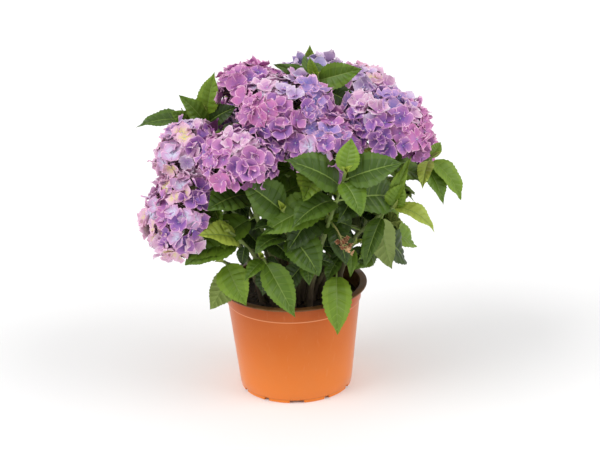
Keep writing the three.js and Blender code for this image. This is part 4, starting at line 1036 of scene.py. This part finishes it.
def grow_head(growth, stem):
    """Florets in a spiral over the dome, with their stalks and the buds between them."""
    centre, axis, radius = stem.centre, stem.axis, stem.radius
    chance = np.random.default_rng(stem.seed + 7)
    side, over = across(axis)
    span = 1 - DOME_SKIRT
    count = round(2 * math.pi * radius ** 2 * span * DOME_COVER / (HEXAGONAL * FLORET_SPACING ** 2))
    left, front, right, top, under = (words.split() for words in HEAD_DRESSES[stem.name])

    def seat(i, count, span, sway):
        height, angle = 1 - (i + 0.5) / count * span, i * SPIRAL + chance.uniform(-sway, sway)
        return height, swing(side, over, angle) * math.sqrt(max(0, 1 - height * height))

    for i in range(count):
        height, ring = seat(i, count, span, 0.2)
        spot = centre + axis * height * radius * DOME_FLATNESS + ring * radius
        normal = unit(axis * height / DOME_FLATNESS + ring)
        if inside_head(spot[None], -FLORET_OVERLAP, centre)[0]:
            continue
        face = unit(normal + UP * FLORET_LIFT + chance.uniform(-FLORET_TILT, FLORET_TILT, 3))
        sunk = CROWN_SEATS.get(stem.name, 1) * max(0, height) ** 2
        spot = spot - normal * (FLORET_SEAT + sunk + chance.uniform(-2, 3))
        sideways, upwards = normal[0] + chance.uniform(-0.25, 0.25), normal[2] + chance.uniform(-0.15, 0.15)
        # florets on the underside mostly take dark dresses, painted shade
        choice = left if sideways < -ZONE_SIDE else right if sideways > ZONE_SIDE else front
        choice = under if upwards < ZONE_UNDER else top if upwards > ZONE_TOP else choice
        drift = math.sin(spot[0] / 13 + spot[2] / 19) + math.sin(spot[2] / 11 - spot[1] / 17)
        drift += chance.uniform(-1, 1)
        drift = (drift + DRIFT_REACH) / (2 * DRIFT_REACH)
        dress = choice[int(np.clip(drift * len(choice), 0, len(choice) - 1))]
        points, faces, kinds = florets[chance.integers(len(florets))]
        size, spin = chance.uniform(*FLORET_SIZES), chance.uniform(0, math.pi / 2)
        u, v = across(face)
        growth.add(spot + size * points @ np.stack([swing(u, v, spin), swing(v, -u, spin), face]),
                   faces, *(f"{dress}_{place}" for place in range(5)), kinds=kinds)
        add_bead(growth, spot + face * 0.8, BEAD_RADIUS * size, face, "bead")
        path, ways = bowed(stem.tip, (stem.tip + spot) / 2 + axis * 0.12 * radius, spot - face * 0.6, 4)
        grow_tube(growth, path, ways, np.linspace(*FLORET_STALK, 4), "flower_stalk", 4)
    buds = int(count * BUDS_FOR_FLORET)
    for i in range(buds):
        height, ring = seat(i, buds, span + 0.1, 0.4)
        depth = chance.uniform(*BUD_DEPTHS)
        spot = centre + (axis * height * DOME_FLATNESS + ring) * radius * depth
        if not inside_head(spot[None], -FLORET_OVERLAP, centre)[0]:
            size = chance.uniform(*BUD_RADII)
            add_bead(growth, spot, size, axis, "bud" if chance.random() < PURPLE_BUDS else "shade")


head_groups = {
    "flowers_top": ("top_front", "top_left", "top_back"),
    "flowers_right": ("top_right", "right", "middle"),
    "flowers_left": ("centre_left", "left", "low_left"),
    "flowers_back_left": ("back_left", "back"),
    "flowers_back_right": ("back_right", "far_right"),
}
for group, members in head_groups.items():
    growth = Growth(group, petal_finishes)
    for stem in stems:
        if stem.blooms and stem.name in members:
            grow_head(growth, stem)
    growth.piece("bloom", ["bloom_" + name for name in members])


# Dry spray: what is left of an old flower on the shoot in the middle, a thin straw-coloured stalk
# that bends over, with twigs and a few shrivelled brown florets.

SPRAY_FOOT_BACK, SPRAY_END, SPRAY_BEND, SPRAY_STEPS = 8, (63, -127, 233), (6, -4, 6), 9
SPRAY_TWIGS, TWIG_LENGTH, DRIED_SIZE = 12, 8, (0.27, 0.27, 0.55)

dry_stalk = Finish("dry stalk", (0.46, 0.44, 0.16), 0.6)
dry_petal = Finish("dry petal", (0.21, 0.070, 0.022), 0.7)
dry_edge = Finish("dry petal edge", (0.62, 0.38, 0.20), 0.7)
spray = Growth("dry_spray", {"stalk": dry_stalk, "petal": dry_petal, "edge": dry_edge})
chance = np.random.default_rng(77)
bearer = next(stem for stem in stems if stem.name == "mid")
foot, end = bearer.below_tip(SPRAY_FOOT_BACK)[0], np.array(SPRAY_END, float)
path, ways = bowed(foot, (foot + end) / 2 + np.array(SPRAY_BEND), end, SPRAY_STEPS)
grow_tube(spray, path, ways, np.linspace(1.3, 0.8, SPRAY_STEPS), "stalk", 7)
for i in range(SPRAY_TWIGS):
    start = path[5 + i % 4]
    away = unit(unit(ways[-1]) * 0.7 + chance.uniform(-1, 1, 3))
    twig_end = start + away * chance.uniform(0.7, 1.3) * TWIG_LENGTH
    twig = start + (twig_end - start) * np.linspace(0, 1, 4)[:, None]
    grow_tube(spray, twig, np.stack([away] * 4), np.linspace(0.6, 0.35, 4), "stalk", 5)
    points, faces, kinds = florets[chance.integers(len(florets))]
    crumpled = (points * DRIED_SIZE + (0, 0, 0.5)) @ np.stack([*across(away), away])
    spray.add(twig_end + crumpled, faces, "petal", "edge", kinds=np.where((kinds == 4) | (i % 4 == 3), 1, 0))
spray.piece("bloom", ["leaves_mid"])


# Floor and light: a plain pale floor that the pot stands on, as wide as the picture and more.
# The light is that of a white studio: an even white sky all round, and a broad soft lamp from
# behind the camera at either side, the left one a little stronger. None of it is part of the plant.

FLOOR_REACH, SKY_STRENGTH, LAMP_SPREAD = 6, 0.74, 40
LAMPS = {"left light": ((-1.0, -0.45, 1.0), 1.35), "right light": ((1.0, -0.4, 0.9), 1.0)}

floor_mesh = bpy.data.meshes.new("floor")
corners = [(x * FLOOR_REACH, y * FLOOR_REACH, 0) for x, y in ((-1, -1), (1, -1), (1, 1), (-1, 1))]
floor_mesh.from_pydata(corners, [], [(0, 1, 2, 3)])
floor_mesh.materials.append(Finish("pale floor", (0.93, 0.93, 0.93), 0.9).material)
floor = put_in_scene("floor", floor_mesh)

sky = bpy.data.worlds.new("sky")
sky.use_nodes = True
sky_light = sky.node_tree.nodes["Background"].inputs
sky_light["Color"].default_value, sky_light["Strength"].default_value = (1, 1, 1, 1), SKY_STRENGTH
bpy.context.scene.world = sky
bpy.context.scene.view_settings.view_transform = "Standard"


def stand_of(right, above, back, place):
    """The matrix of a lamp or camera that looks away from back."""
    return Matrix([*zip(right, above, back, place), (0, 0, 0, 1)])


for name, (back, energy) in LAMPS.items():
    lamp, back = bpy.data.lights.new(name, "SUN"), unit(np.array(back))
    lamp.energy, lamp.angle = energy, math.radians(LAMP_SPREAD)
    put_in_scene(name, lamp).matrix_world = stand_of(*across(back), back, back)


# Camera: stands where the photograph was taken from, in front of the plant and a little above it,
# looking down at it and rolled by a degree or two. It has a long lens and stands far away, so the
# picture hardly narrows towards the pot.

CAMERA_DROP, CAMERA_ROLL, CAMERA_AWAY, CAMERA_FOCUS = 20.98, -1.774, 2500, 1961.5
CAMERA_AIM, SENSOR_WIDTH, PICTURE_WIDTH = (10.9, 0, 216.7), 36, 600
drop, roll = math.radians(CAMERA_DROP), math.radians(CAMERA_ROLL)
ahead = np.array([0, math.cos(drop), -math.sin(drop)])
level = np.array([1.0, 0, 0])
above = np.cross(level, ahead)
lens = bpy.data.cameras.new("camera")
lens.sensor_width = SENSOR_WIDTH
lens.lens = CAMERA_FOCUS / PICTURE_WIDTH * SENSOR_WIDTH
camera = put_in_scene("camera", lens)
camera.matrix_world = stand_of(swing(level, above, roll), swing(above, -level, roll), -ahead,
                               (np.array(CAMERA_AIM) - ahead * CAMERA_AWAY) / 1000)
bpy.context.scene.camera = camera
